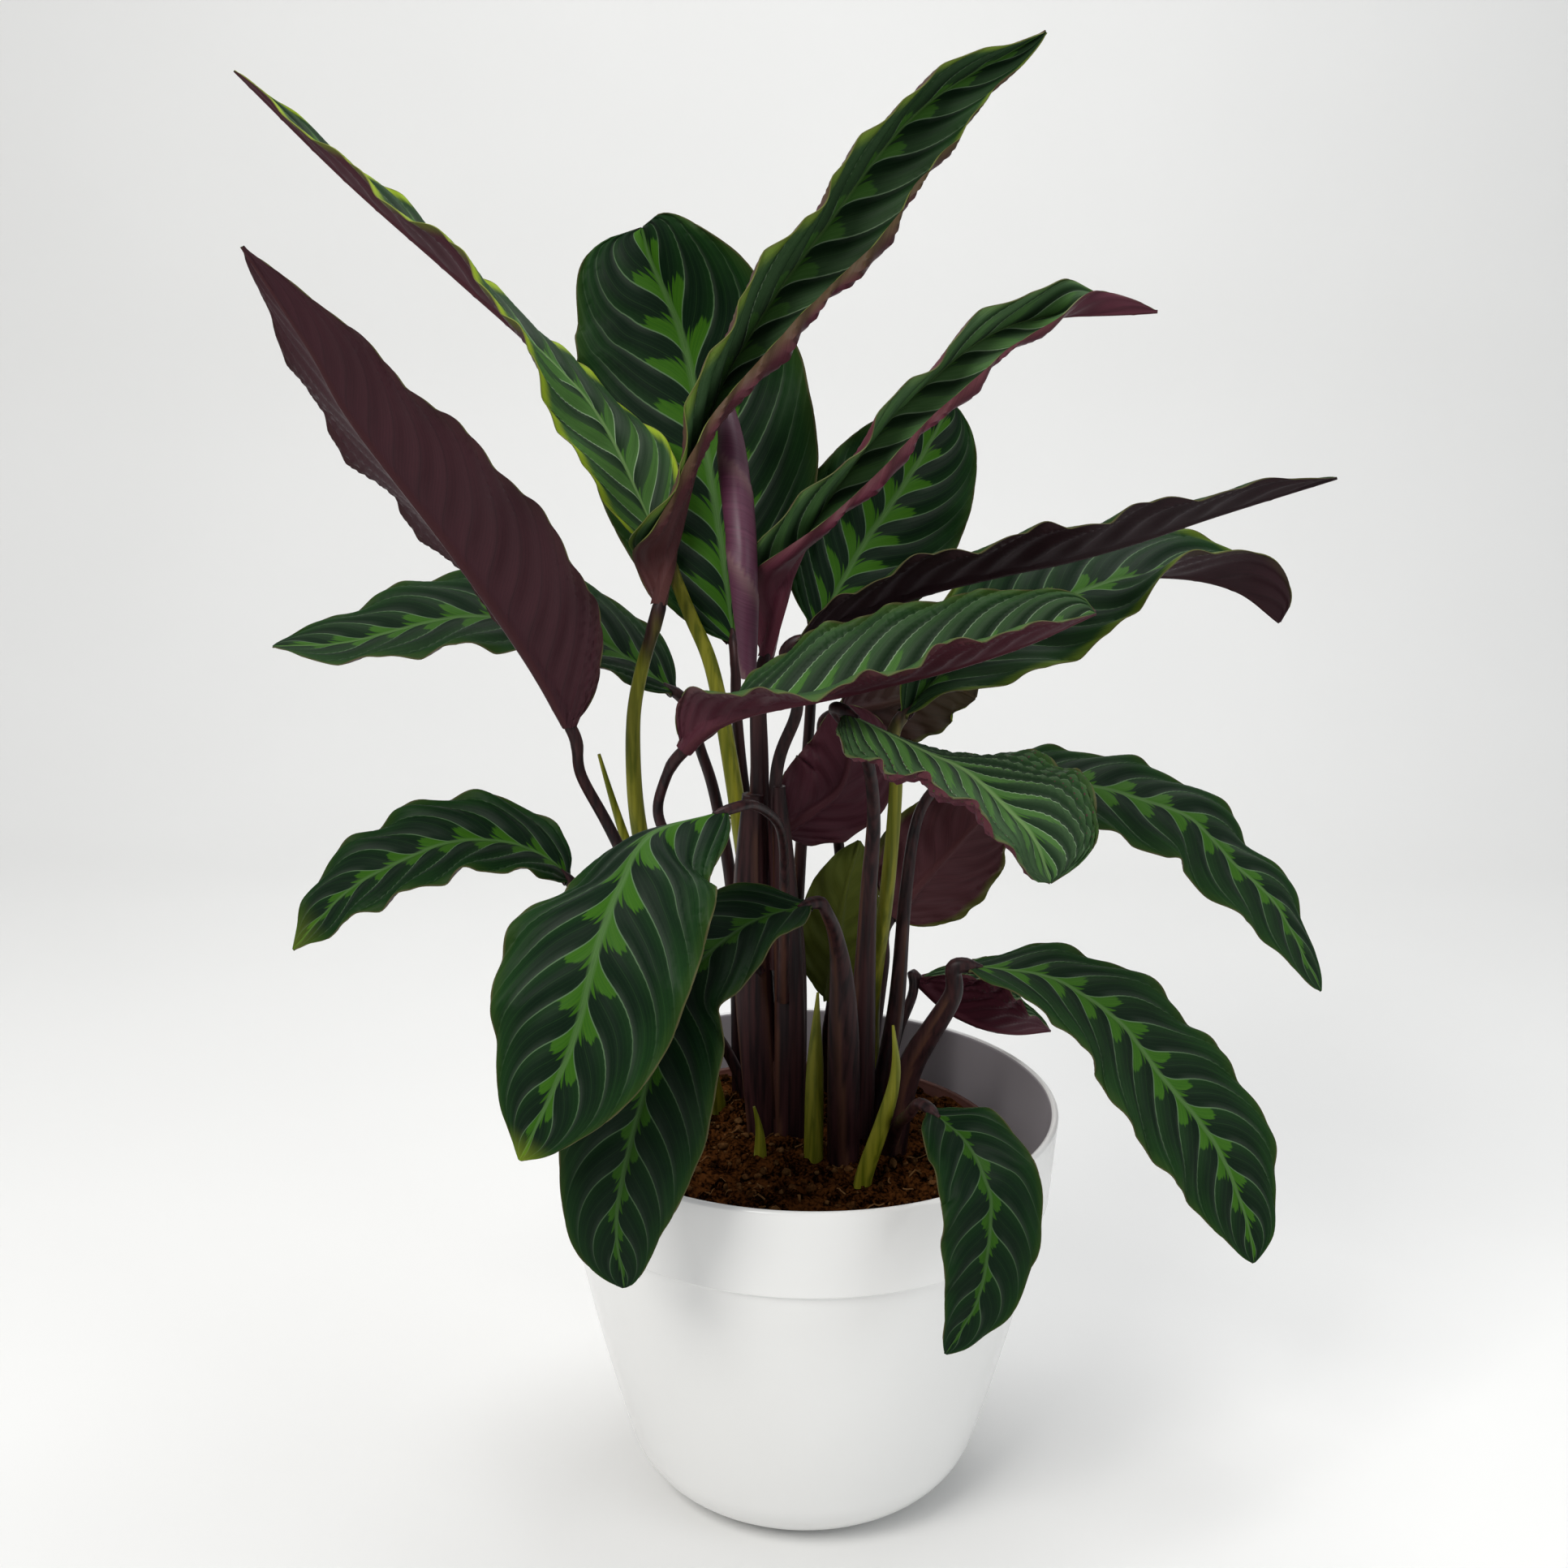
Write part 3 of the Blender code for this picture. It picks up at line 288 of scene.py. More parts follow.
LEAVES = [
    Leaf("leaf_tall_right",
         [(-70, 10, 432), (-50, 20, 511), (-26, 30, 558), (1, 40, 596), (44, 50, 649), (101, 60, 684)], 80,
         [(-0.5, 0.6, 0.5), (0, -1, 0), (0, -1, 0), (0.1, -1, 0), (0.2, -1, -0.1), (0.1, -1, -0.1),
          (0.1, -1, -0.2)],
         left=(50, 78, 74, 70, 64, 62, 60), right=(60, 78, 50, 34, 24, 22, 30), curl=(0, 30), tip=0.85,
         veins=14, wedge=0.34, rim=0.4, ripple=1.4, light=(0.5, 0.5, 0.35, 0.2, 0.15), olive=(0.1, 0, 0),
         roll=((0, 60, 120, 130, 110, 60), (0.8, 0.74, 0.72, 0.74, 0.8, 0.85))),
    Leaf("leaf_tall_left",
         [(-71, 36, 455), (-98, 44, 510), (-122, 48, 538), (-166, 52, 576), (-214, 56, 617),
          (-263, 60, 664)], 62,
         [(0.2, -0.9, 0.2), (0.3, -0.9, 0.3), (0.45, -0.45, 0.6), (0.6, 0, 0.8), (0.6, 0, 0.8),
          (0.6, 0, 0.8), (0.6, 0, 0.8)],
         left=(30, 35, 25, 22, 22, 23, 23, 23, 20), right=(20, -5, -40, -12, 5, 15, 20, 20, 18),
         widest=0.3, tip=0.9, veins=15, wedge=0.95, rim=1, ripple=1.5, light=(0.4, 0.4, 0.2, 0.1)),
    Leaf("leaf_oval_back",
         [(-37, 40, 410), (-47, 70, 471), (-61, 95, 538), (-70, 101, 564), (-79, 106, 583),
          (-84, 112, 599)], 114, [(0.1, -1, 0.1), (0.1, -1, 0.1), (0.1, -1, 0.3)],
         left=(5, 0, 0, 0), right=(20, 18, 32, 65), widest=0.55, tip=0.36, ruffle=2,
         veins=9, wedge=0.42),
    Leaf("leaf_middle_right",
         [(-21, 5, 409), (-7, 10, 456), (20, 20, 499), (49, 30, 530), (90, 40, 557), (156, 50, 563)], 62,
         [(-0.5, 0.6, 0.5), (0.1, -1, 0.1), (0.1, -0.9, 0.4), (0.1, 0.9, 0.4)],
         left=(50, 75, 84, 95), right=(70, 45, 25, 10), curl=(0, 30), tip=0.85,
         veins=12, wedge=0.9, rim=0.1, ripple=1.2, light=(0.6, 0.75, 0.75, 0.3),
         roll=((0, 90, 120, 120, 90, 0), (0.7, 0.7, 0.72, 0.75, 0.8, 0.9))),
    Leaf("leaf_oval_behind",
         [(2, 52, 414), (23, 74, 449), (38, 79, 471), (55, 84, 498), (66, 87, 519)], 80,
         [(0, -1, 0.1), (0, -1, 0.1)], left=(15, 10, 10), right=(15, 10, 10), tip=0.6, ruffle=2,
         veins=8, wedge=0.38),
    Leaf("leaf_long_right",
         [(-6, -20, 421), (17, -26, 433), (46, -36, 446), (79, -46, 456), (107, -52, 463),
          (134, -58, 472), (164, -66, 484), (208, -80, 501)], 62,
         [(-0.2, 0.52, 0.85), (-0.2, 0.52, 0.85)], left=(28, 34, 34), right=(4, 6, 8),
         veins=13, ripple=1.5, deep=0.75),
    Leaf("leaf_curled_right",
         [(42, 0, 384), (58, 4, 401), (98, 14, 427), (137, 20, 443), (168, 22, 445), (195, 22, 439),
          (215, 20, 425)], 70,
         [(-0.2, -0.6, 0.8), (-0.2, -0.6, 0.8), (-0.1, -0.5, 0.8), (0, -0.4, 0.9), (0.3, -0.3, 0.9)],
         left=(75, 50, 5, 10, 25), right=(40, 5, 5, 55, 90), widest=0.5, tip=0.4,
         veins=11, wedge=0.26, rim=0.25, deep=0.5, light=(0.2, 0.05, 0)),
    Leaf("leaf_centre_right",
         [(-56, -40, 376), (-45, -45, 387), (-28, -52, 396), (6, -62, 405), (32, -67, 412),
          (58, -72, 420), (87, -80, 432), (113, -86, 446)], 70,
         [(0.1, 0.3, 0.9), (0, -0.4, 0.9), (0, -0.5, 0.9), (0, -0.5, 0.9)],
         left=(15, 20, 24, 30, 34, 28), right=(62, 40, 42, 50, 58, 45), tip=0.45,
         veins=13, wedge=0.45, rim=0.08, ripple=1.3, light=(0.3, 0.35, 0.35)),
    Leaf("leaf_long_left",
         [(-109, -20, 382), (-125, -25, 412), (-153, -40, 459), (-190, -60, 516), (-204, -70, 546),
          (-225, -85, 586)], 90, [(0.3, 0.9, 0.1), (0.3, 0.9, 0.1)],
         left=(0, 5, 10, 30), right=(62, 52, 38, 15), widest=0.28, tip=1.1,
         veins=15, wedge=0.4, deep=0.15),
    Leaf("leaf_behind_left",
         [(-67, 60, 381), (-88, 62, 396), (-118, 60, 411), (-166, 50, 418), (-220, 40, 407),
          (-254, 35, 406)], 78, [(0, -0.3, 1), (0, -0.3, 1)],
         left=(10, 5, 5), right=(15, 12, 12), tip=0.75,
         veins=11, wedge=0.36, deep=0.2, light=(0, 0.05, 0.15)),
    Leaf("leaf_low_left",
         [(-112, -10, 307), (-119, -12, 316), (-137, -15, 325), (-161, -20, 327), (-183, -25, 320),
          (-209, -30, 306), (-234, -35, 280)], 64,
         [(0, -0.3, 0.95), (-0.1, -0.3, 0.95), (-0.3, -0.4, 0.7)], left=(10, 5, 5), right=(15, 12, 12),
         veins=9, wedge=0.28, ripple=1.3, deep=0.25, gold=(0,) * 7 + (0.3,)),
    Leaf("leaf_front_left",
         [(-37, -100, 365), (-65, -128, 363), (-76, -148, 347), (-84, -160, 325), (-92, -168, 293),
          (-105, -172, 262), (-114, -172, 243)], 80,
         [(0, -0.6, 0.7), (0, -0.9, 0.4), (-0.1, -0.9, 0.4), (-0.2, -0.9, 0.1)],
         left=(8, 5, 5), right=(-85, -55, 0, 0), widest=0.5, tip=0.85,
         veins=10, wedge=0.31, deep=0.2, gold=(0,) * 15 + (0.5,)),
    Leaf("leaf_front_middle",
         [(-2, -72, 316), (-26, -95, 315), (-46, -112, 304), (-59, -122, 291), (-65, -134, 266),
          (-74, -142, 233), (-79, -146, 203), (-76, -146, 174)], 62,
         [(0, -0.7, 0.8), (-0.2, -0.9, 0.5), (0, -1, 0.2), (0, -1, 0.1)],
         left=(30, 30, 15, 10), right=(5, 5, 10), widest=0.55, tip=0.65,
         veins=12, wedge=0.22, deep=0.75),
    Leaf("leaf_front_right",
         [(14, -62, 398), (30, -75, 393), (46, -85, 387), (62, -95, 381), (78, -106, 368),
          (88, -113, 358), (95, -120, 342)], 90,
         [(0, -0.5, 0.85), (0, -0.6, 0.8), (0.15, -0.65, 0.65), (0.2, -0.7, 0.55)],
         left=(-60, -50, -15, 0), right=(10, 20, 30, 40, 40), widest=0.65, tip=0.6,
         veins=11, wedge=0.6, rim=0.05, ripple=1.2, light=(0.45, 0.45, 0.45),
         roll=((0, 50, 70, 50, 0), (0.75, 0.72, 0.72, 0.72, 0.75))),
    Leaf("leaf_arching_right",
         [(80, 38, 346), (110, 42, 343), (139, 45, 339), (163, 46, 332), (186, 46, 323), (208, 44, 301),
          (230, 42, 280), (254, 38, 238)], 64,
         [(0.1, -0.5, 0.8), (0.2, -0.6, 0.75), (0.4, -0.7, 0.5)],
         left=(0, -14, -18, -14), right=(5, 5, 5),
         veins=11, wedge=0.36, ripple=1.2, deep=0.1, light=(0, 0.05, 0.1)),
    Leaf("leaf_low_right",
         [(73, -28, 273), (104, -30, 270), (121, -31, 263), (143, -33, 247), (161, -35, 224),
          (188, -38, 191), (204, -42, 156), (209, -45, 134)], 68,
         [(0.1, -0.4, 0.9), (0.3, -0.7, 0.7), (0.3, -0.9, 0.3)],
         left=(-15, 0, 5), right=(8, 5, 5), widest=0.55, tip=0.75,
         veins=12, wedge=0.34, ripple=1.2, light=(0.1, 0)),
    Leaf("leaf_over_rim",
         [(52, -100, 233), (64, -122, 230), (71, -134, 220), (74, -140, 207), (70, -145, 172),
          (57, -146, 145)], 43, [(0.1, -0.6, 0.75), (0.1, -0.9, 0.45), (0.1, -1, 0.1)],
         left=(12, 10, 10), right=(12, 10, 10), veins=8, wedge=0.2, deep=0.75),
    Leaf("leaf_small_back",
         [(58, 70, 229), (72, 69, 215), (90, 69, 205), (108, 70, 201), (126, 72, 202)], 72,
         [(0.3, 0.1, 1), (0, 0, 1)], left=(52, 55, 50), right=(58, 55, 45), ruffle=2,
         veins=7, wedge=0.5, light=(0.4, 0.4)),
    Leaf("leaf_underside_right",
         [(42, 50, 270), (56, 55, 286), (71, 60, 302), (84, 62, 316), (98, 66, 326)], 62,
         [(0, 1, 0), (0, 1, 0)], left=(10, 10, 10), right=(15, 15, 15), tip=0.6, ruffle=2,
         veins=7, rim=1, light=(0.35, 0.45), olive=(0.05, 0.05)),
    Leaf("leaf_underside_high",
         [(14, 38, 376), (34, 38, 380), (52, 38, 385), (68, 38, 388), (78, 38, 384)], 46,
         [(0, 1, 0), (0, 1, 0)], left=(10, 10, 10), right=(10, 10, 10), tip=0.5, ruffle=2,
         veins=7, rim=0.8, deep=0.3, olive=(0, 0.25)),
    Leaf("leaf_underside_middle",
         [(-14, 14, 324), (1, 14, 334), (14, 14, 346), (18, 14, 365), (14, 14, 385)], 52,
         [(0, 1, 0), (0, 1, 0)], tip=0.6, ruffle=2, veins=7, light=(0.2, 0.3)),
    Leaf("leaf_olive_middle",
         [(12, 34, 232), (14, 34, 262), (18, 34, 290), (24, 34, 314)], 40,
         [(0, 1, 0), (0, 1, 0)], left=(15, 10, 10), right=(15, 10, 10), ruffle=2,
         veins=7, olive=(0.8, 0.8)),
]

SHOOTS = {
    "stem_tall_right": [
        Stem([(-44, 32, 175), (-62, 25, 248), (-80, 18, 318), (-83, 12, 372), (-79, 10, 400)],
             (4.5, 4.5, 3.6, 2.8), "leaf_tall_right",
             green=(1, 1, 1, 1, 0.9, 0.1), wrap=(1, 0.3, 0.2, 0.8)),
        Stem([(-48, 34, 178), (-72, 28, 262), (-92, 25, 329), (-100, 24, 358)], (4.5, 4, 3.2, 0.8),
             green=(1, 1, 0.9, 0.8), wrap=(1, 0.2, 0.6, 0.8))],
    "stem_tall_left": [
        Stem([(-17, 30, 177), (-26, 26, 270), (-37, 26, 347), (-47, 30, 399), (-57, 33, 422)],
             (4.5, 4.5, 3.8, 2.8), "leaf_tall_left",
             green=(0, 0, 0.1, 0.9, 1, 0.1), wrap=(1, 0.3, 0.1, 0.6))],
    "stem_long_left": [
        Stem([(-52, 14, 176), (-76, 2, 284), (-91, -8, 328), (-106, -16, 361)], (4.2, 3.6, 2.8, 2.4),
             "leaf_long_left", green=(0.1, 0, 0, 0), wrap=(1, 0.3, 0.3, 0.6))],
    "stem_behind_left": [
        Stem([(-34, 62, 176), (-37, 62, 269), (-47, 62, 330), (-55, 61, 355)], (4, 3.6, 3, 2.4),
             "leaf_behind_left", green=(0.2, 0, 0, 0), wrap=(1, 0.3, 0.7, 0.6))],
    "stem_low_left": [
        Stem([(-31, 50, 176), (-46, 50, 208), (-72, 38, 242), (-90, 12, 270), (-104, -5, 290)],
             (3, 2.6, 2.4), "leaf_low_left")],
    "stems_centre": [
        Stem([(-20, 6, 176), (-25, 4, 240), (-28, 2, 300), (-27, 2, 345)], (8, 9, 8.5, 5),
             green=(0.1, 0, 0), wrap=(3, 0.35, 0.15, 0.95)),
        Stem([(-8, 2, 176), (-9, 0, 250), (-12, -2, 310), (-15, -2, 350)], (7, 7.2, 6, 3),
             green=(0.25, 0, 0), wrap=(2, 0.3, 0.6, 0.95)),
        Stem([(-23, -3, 260), (-48, -15, 303), (-68, -22, 336), (-69, -27, 349), (-64, -34, 364)],
             (3, 2.8, 2.4, 2.4), "leaf_centre_right", rooted=False, wrap=(1, 0.3, 0.4, 0.4)),
        Stem([(-12, -6, 247), (-12, -25, 309), (-13, -45, 338), (-17, -65, 353), (-27, -90, 366)],
             (3, 2.4, 2, 2), "leaf_front_left", rooted=False, wrap=(1, 0.2, 0.1, 0.4)),
        Stem([(-16, 3, 260), (-16, 2, 305), (-16, -2, 359), (-6, -12, 391)], (4, 3.2, 2.8, 2.4),
             "leaf_long_right", rooted=False, wrap=(1, 0.4, 0.7, 0.5)),
        Stem([(-24, 4, 300), (-24, 6, 355), (-25, 5, 387)], (5.5, 4.5, 4, 3),
             "leaf_middle_right", rooted=False, wrap=(1, 0.4, 0.2, 0.5))],
    "stem_oval_back": [
        Stem([(-16, 52, 176), (-22, 46, 270), (-32, 38, 340), (-36, 36, 385)], (4, 3.4, 2.8, 2.4),
             "leaf_oval_back", green=(0.3, 0.1, 0, 0), wrap=(1, 0.3, 0.5, 0.6))],
    "stem_oval_behind": [
        Stem([(-6, 44, 176), (-6, 48, 250), (-3, 52, 325), (0, 50, 385)], (3.6, 3.2, 2.8, 2.4),
             "leaf_oval_behind", green=(0.5, 0.2, 0, 0), wrap=(1, 0.3, 0.1, 0.6))],
    "stem_underside_middle": [
        Stem([(-4, 18, 176), (-4, 17, 254), (-9, 17, 294), (-20, 16, 312)], (3.6, 3.4, 2.8, 2),
             "leaf_underside_middle")],
    "sheath_front": [
        Stem([(17, -26, 176), (16, -32, 230), (14, -42, 274), (10, -56, 300), (5, -70, 314)],
             (7.5, 7.6, 6.8, 3.4, 2.2), "leaf_front_middle",
             green=(0.35, 0.2, 0, 0), wrap=(2, 0.4, 0.3, 0.9))],
    "sheath_young": [
        Stem([(3, -27, 176), (3, -24, 215), (4, -22, 257)], (4.5, 4.5, 3.8, 0.6),
             green=(0.7, 0.9, 0.8, 0.7), wrap=(1, 0.6, 0.5, 1))],
    "stems_right": [
        Stem([(26, -4, 176), (26, -5, 241), (27, -10, 302), (28, -22, 344), (22, -42, 378)],
             (6, 6, 4, 2.8, 2.4), "leaf_front_right",
             green=(0.1, 0, 0, 0), wrap=(2, 0.4, 0.5, 0.7)),
        Stem([(33, 3, 180), (42, 10, 235), (46, 20, 291), (52, 30, 330), (65, 36, 345)],
             (6, 5, 3.6, 2.8, 2.4), "leaf_arching_right",
             green=(0.2, 0.1, 0, 0), wrap=(2, 0.3, 0.1, 0.6))],
    "stem_right_green": [
        Stem([(34, 20, 176), (31, 14, 236), (36, 2, 298), (39, 0, 350), (38, 0, 368)],
             (3.6, 3.6, 3.4, 2.6), "leaf_curled_right",
             green=(1, 1, 1, 0.9, 0.3), wrap=(1, 0.2, 0.4, 0.8))],
    "stem_underside_right": [
        Stem([(30, 36, 176), (36, 42, 230), (39, 47, 256)], (3.4, 2.8, 2.2), "leaf_underside_right")],
    "stem_underside_high": [
        Stem([(22, 50, 176), (20, 49, 250), (13, 46, 320), (6, 41, 360)], (3.4, 3, 2.6, 2.2),
             "leaf_underside_high")],
    "stem_small_back": [
        Stem([(42, 52, 176), (46, 58, 205), (56, 66, 228)], (3.4, 2.8, 2.2), "leaf_small_back")],
    "stem_olive": [
        Stem([(12, 56, 176), (10, 44, 214)], (2.8, 2.6, 2.2), "leaf_olive_middle")],
    "stems_front_right": [
        Stem([(41, -12, 176), (47, -13, 214), (60, -20, 243), (68, -26, 262)], (7, 6.6, 5, 2.6),
             "leaf_low_right", green=(0.1, 0, 0, 0), wrap=(2, 0.5, 0.2, 0.8)),
        Stem([(38, -19, 176), (39, -38, 192), (41, -56, 208), (44, -78, 222)], (4, 3.2, 2.6, 2.2),
             "leaf_over_rim", green=(0.2, 0, 0, 0), wrap=(1, 0.3, 0.6, 0.8))],
    "spear_front": [
        Stem([(25, -51, 176), (33, -54, 205), (39, -56, 232), (37, -57, 255)], (3.6, 4, 3, 0.6),
             green=(0.6, 0.9, 0.9, 0.8), wrap=(1, 0.8, 0.3, 1))],
    "spear_small": [
        Stem([(-22, -25, 176), (-22, -26, 189), (-25, -27, 202)], (4, 3, 0.6),
             green=(0.5, 0.9, 0.9), wrap=(1, 0.5, 0.1, 1))],
    "leaf_rolled": [
        Stem([(-29, -8, 402), (-32, -8, 454), (-37, 18, 494), (-43, 46, 532)], (3.5, 6, 7, 6.2, 1),
             rooted=False, wrap=(1, 3, 0.2, 1.1))],
}

SHOOT_SLOTS = {"leaf_rolled": "leaf_purple",
               **dict.fromkeys(("stem_tall_right", "stem_tall_left", "stem_right_green", "sheath_young",
                                "spear_front", "spear_small"), "stalk_green")}


def unit(vectors):
    return vectors / np.linalg.norm(vectors, axis=-1, keepdims=True)


def blend(values, low, high):
    """0 up to low, 1 from high on, and smooth in between."""
    share = np.clip((values - low) / (high - low), 0, 1)
    return share * share * (3 - 2 * share)


def curve_points(points, fineness=24):
    """Points on a smooth curve through the given ones, rows of values of any kind."""
    p = np.asarray(points, float)
    p = np.vstack([2 * p[0] - p[1], p, 2 * p[-1] - p[-2]])
    t = np.linspace(0, 1, fineness, endpoint=False)[:, None]
    pieces = []
    for a, b, c, d in zip(p, p[1:], p[2:], p[3:]):
        pieces.append(b + 0.5 * t * (c - a + t * (2 * a - 5 * b + 4 * c - d + t * (3 * (b - c) + d - a))))
    return np.vstack(pieces + [p[-2]])


def curve_length(points):
    """The length of the smooth curve through the given points."""
    return np.linalg.norm(np.diff(curve_points(points), axis=0), axis=1).sum()


def read_rows(rows, spots, at):
    """Rows that lie at some places, read at other places between them."""
    return np.stack([np.interp(spots, at, column) for column in rows.T], axis=1)


def along(points, count):
    """Evenly spaced points on a smooth curve through the given ones, and the curve's directions."""
    fine = curve_points(points)
    length = np.r_[0, np.cumsum(np.linalg.norm(np.diff(fine, axis=0), axis=1))]
    spots = np.linspace(0, length[-1], count)
    ways = unit(np.gradient(fine, axis=0))
    return read_rows(fine, spots, length), unit(read_rows(ways, spots, length))


def steps(values, shares):
    """Values given at even steps, on a smooth curve through them, read at the shares."""
    values = np.asarray(values, float)
    rows = curve_points(values.reshape(len(values), -1))
    found = read_rows(rows, shares, np.linspace(0, 1, len(rows)))
    return found[:, 0] if values.ndim == 1 else found


def half_widths(leaf, shares):
    """The outline: a round base, the widest place, and a pointed tip."""
    base = shares / leaf.widest
    tip = (1 - shares) / (1 - leaf.widest)
    shape = np.where(base < 1, (base * (2 - base)).clip(0) ** BASE_ROUNDNESS,
                     (tip * (2 - tip)).clip(0) ** leaf.tip)
    stalk = STALK_RADIUS * (1 - shares) + BLADE_END
    return np.maximum(leaf.width / 2 * shape, stalk)


def vein_cells(leaf, shares, reach, hand, length):
    """A number that grows by one from each side vein to the next, towards the tip."""
    sweep = VEIN_RUN * (1 - np.exp(-reach / VEIN_RUN_REACH)) + VEIN_SLANT * reach + VEIN_BEND * reach ** 3
    sweep = sweep * (leaf.width / 2 / length) / USUAL_SHAPE
    return (shares[:, None] - sweep) * leaf.veins + 0.5 * (hand > 0)


def blade_half(leaf, shares, frame_of, hand):
    """One half of the blade's middle surface, from the midrib out, and its veins' numbers."""
    centre, across, up, length = frame_of
    reach = np.array(BLADE_HALF)[None]
    raised = steps(leaf.right if hand > 0 else leaf.left, shares)[:, None]
    curl = leaf.curl[1] if hand > 0 else leaf.curl[0]
    angle = np.radians(raised + curl * reach) + ARCH * (0.5 - reach)
    rolls, starts = (steps(row, shares)[:, None] for row in leaf.roll)
    angle = angle + (hand > 0) * np.radians(rolls) * blend(reach, starts, starts + ROLL_WIDTH)
    width = half_widths(leaf, shares)[:, None]
    cell = vein_cells(leaf, shares, reach, hand, length)
    hump = abs(np.sin(np.pi * cell)) ** HUMP_ROUNDNESS - HUMP_MIDDLE
    scallops = SCALLOP * leaf.ripple * hump[:, 1:] * blend(reach[:, 1:], SCALLOP_START, 1)
    step = np.diff(reach) * width * (1 + scallops)
    turn = (angle[:, 1:] + angle[:, :-1]) / 2
    out = np.cumsum(np.pad(step * np.cos(turn), ((0, 0), (1, 0))), axis=1)
    rise = np.cumsum(np.pad(step * np.sin(turn), ((0, 0), (1, 0))), axis=1)
    swing = WAVES * (shares[:, None] - RUFFLE_SWEEP * reach) + RUFFLE_SHIFT * (hand > 0)
    fade = np.sin(np.pi * shares)[:, None].clip(0) ** 0.5
    lift = leaf.ruffle * reach ** 2 * fade * np.sin(2 * np.pi * swing)
    pleat = PLEAT * leaf.ripple * (width / PLEAT_WIDTH).clip(0, 1)
    lift = lift + pleat * hump * blend(reach, 0, PLEAT_REACH)
    normal = np.cos(angle)[..., None] * up[:, None] - hand * np.sin(angle)[..., None] * across[:, None]
    points = centre[:, None] + hand * out[..., None] * across[:, None] + rise[..., None] * up[:, None]
    return points + lift[..., None] * normal, cell


def blade_surface(leaf):
    """The blade's middle surface, base to tip and left to right, and what the colours need."""
    length = curve_length(leaf.rib)
    rows = round(length / BLADE_ROW) + 1
    shares = np.linspace(0, 1, rows)
    centre, way = along(leaf.rib, rows)
    face = steps(leaf.face, shares)
    up = unit(face - (face * way).sum(1, keepdims=True) * way)
    across = np.cross(way, up)
    halves = [blade_half(leaf, shares, (centre, across, up, length), hand) for hand in (-1, 1)]
    (left, left_cell), (right, right_cell) = halves
    surface = np.concatenate([left[:, :0:-1], right], axis=1)
    cell = np.concatenate([left_cell[:, :0:-1], right_cell], axis=1)
    reach = np.r_[BLADE_HALF[:0:-1], BLADE_HALF]
    return surface, cell, np.tile(reach, (rows, 1)), np.tile(shares[:, None], (1, len(reach)))


def blade_depths(leaf, cell, reach, share):
    """How far the top and the underside lie from the middle surface."""
    half = (BLADE_THICKNESS + (MARGIN_THICKNESS - BLADE_THICKNESS) * reach) / 2
    far = reach * half_widths(leaf, share[:, 0])[:, None]
    rib = STALK_RADIUS * (1 - share) ** 2 + RIB_TIP_RADIUS
    below = half + rib * np.sqrt((1 - (far / (rib * RIB_ROUNDING)) ** 2).clip(0))
    near = abs((cell + 0.5) % 1 - 0.5)
    below = below + SIDE_RIB * blend(near, SIDE_RIB_WIDTH, 0) * blend(reach, 1, SIDE_RIB_FADE)
    groove = RIB_GROOVE * np.exp(-(far / RIB_GROOVE_WIDTH) ** 2) * blend(share, 0, RIB_GROOVE_START)
    return half - groove.clip(0, MARGIN_THICKNESS / 2), below


def grid_faces(rows, columns):
    """Squares over a grid of points, row by row."""
    corner = (np.arange(rows - 1)[:, None] * columns + np.arange(columns - 1)).ravel()
    return np.stack([corner, corner + 1, corner + columns + 1, corner + columns], axis=1)


def build_blade(leaf):
    """A thin closed blade with its veins, which stands for the leaf's plain one."""
    surface, cell, reach, share = blade_surface(leaf)
    rows, columns = cell.shape
    normal = unit(np.cross(np.gradient(surface, axis=1), np.gradient(surface, axis=0)))
    above, below = blade_depths(leaf, cell, reach, share)
    top = surface + normal * above[..., None]
    under = surface - normal * below[..., None]
    upper = grid_faces(rows, columns)
    count = rows * columns
    first, last = np.arange(columns), np.arange(columns) + count - columns
    left, right = np.arange(rows) * columns, np.arange(rows) * columns + columns - 1
    rim = np.r_[first[:-1], right[:-1], last[:0:-1], left[:0:-1]]
    after = np.roll(rim, -1)
    wall = np.stack([after, rim, rim + count, after + count], axis=1)
    faces = np.vstack([upper, upper[:, ::-1] + count, wall])
    slots = np.r_[np.zeros(len(upper)), np.ones(len(upper)), np.zeros(len(wall))]
    values = {"cell": cell, "reach": reach, "share": share}
    # Values for the materials, among them how much painted light, painted sheen and painted shade each leaf
    # gets.
    for name in ("light", "gold", "olive"):
        values[name] = np.tile(steps(getattr(leaf, name), share[:, 0]).clip(0, 1)[:, None], (1, columns))
    for name in ("wedge", "rim", "deep"):
        values[name] = np.full((rows, columns), getattr(leaf, name))
    values = {name: np.r_[value.ravel(), value.ravel()] for name, value in values.items()}
    points = np.vstack([top.reshape(-1, 3), under.reshape(-1, 3)])
    made = new_object(leaf.name + ".blade", points, faces, ["blade_top", "blade_under"], slots, values)
    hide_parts(leaf.name)


def new_object(name, points, faces, materials, slots=None, values=()):
    """A smooth object with its materials, and with its values kept at its points."""
    mesh = bpy.data.meshes.new(name)
    mesh.from_pydata(points, [], faces)
    if slots is not None:
        mesh.polygons.foreach_set("material_index", np.asarray(slots, np.int32))
    for key in values:
        mesh.attributes.new(key, "FLOAT", "POINT").data.foreach_set("value", values[key].astype(np.float32))
    for material in materials:
        mesh.materials.append(bpy.data.materials[material])
    mesh.shade_smooth()
    mesh.set_sharp_from_angle(angle=SHARP_ANGLE)
    made = bpy.data.objects.new(name, mesh)
    bpy.context.scene.collection.objects.link(made)
    return made


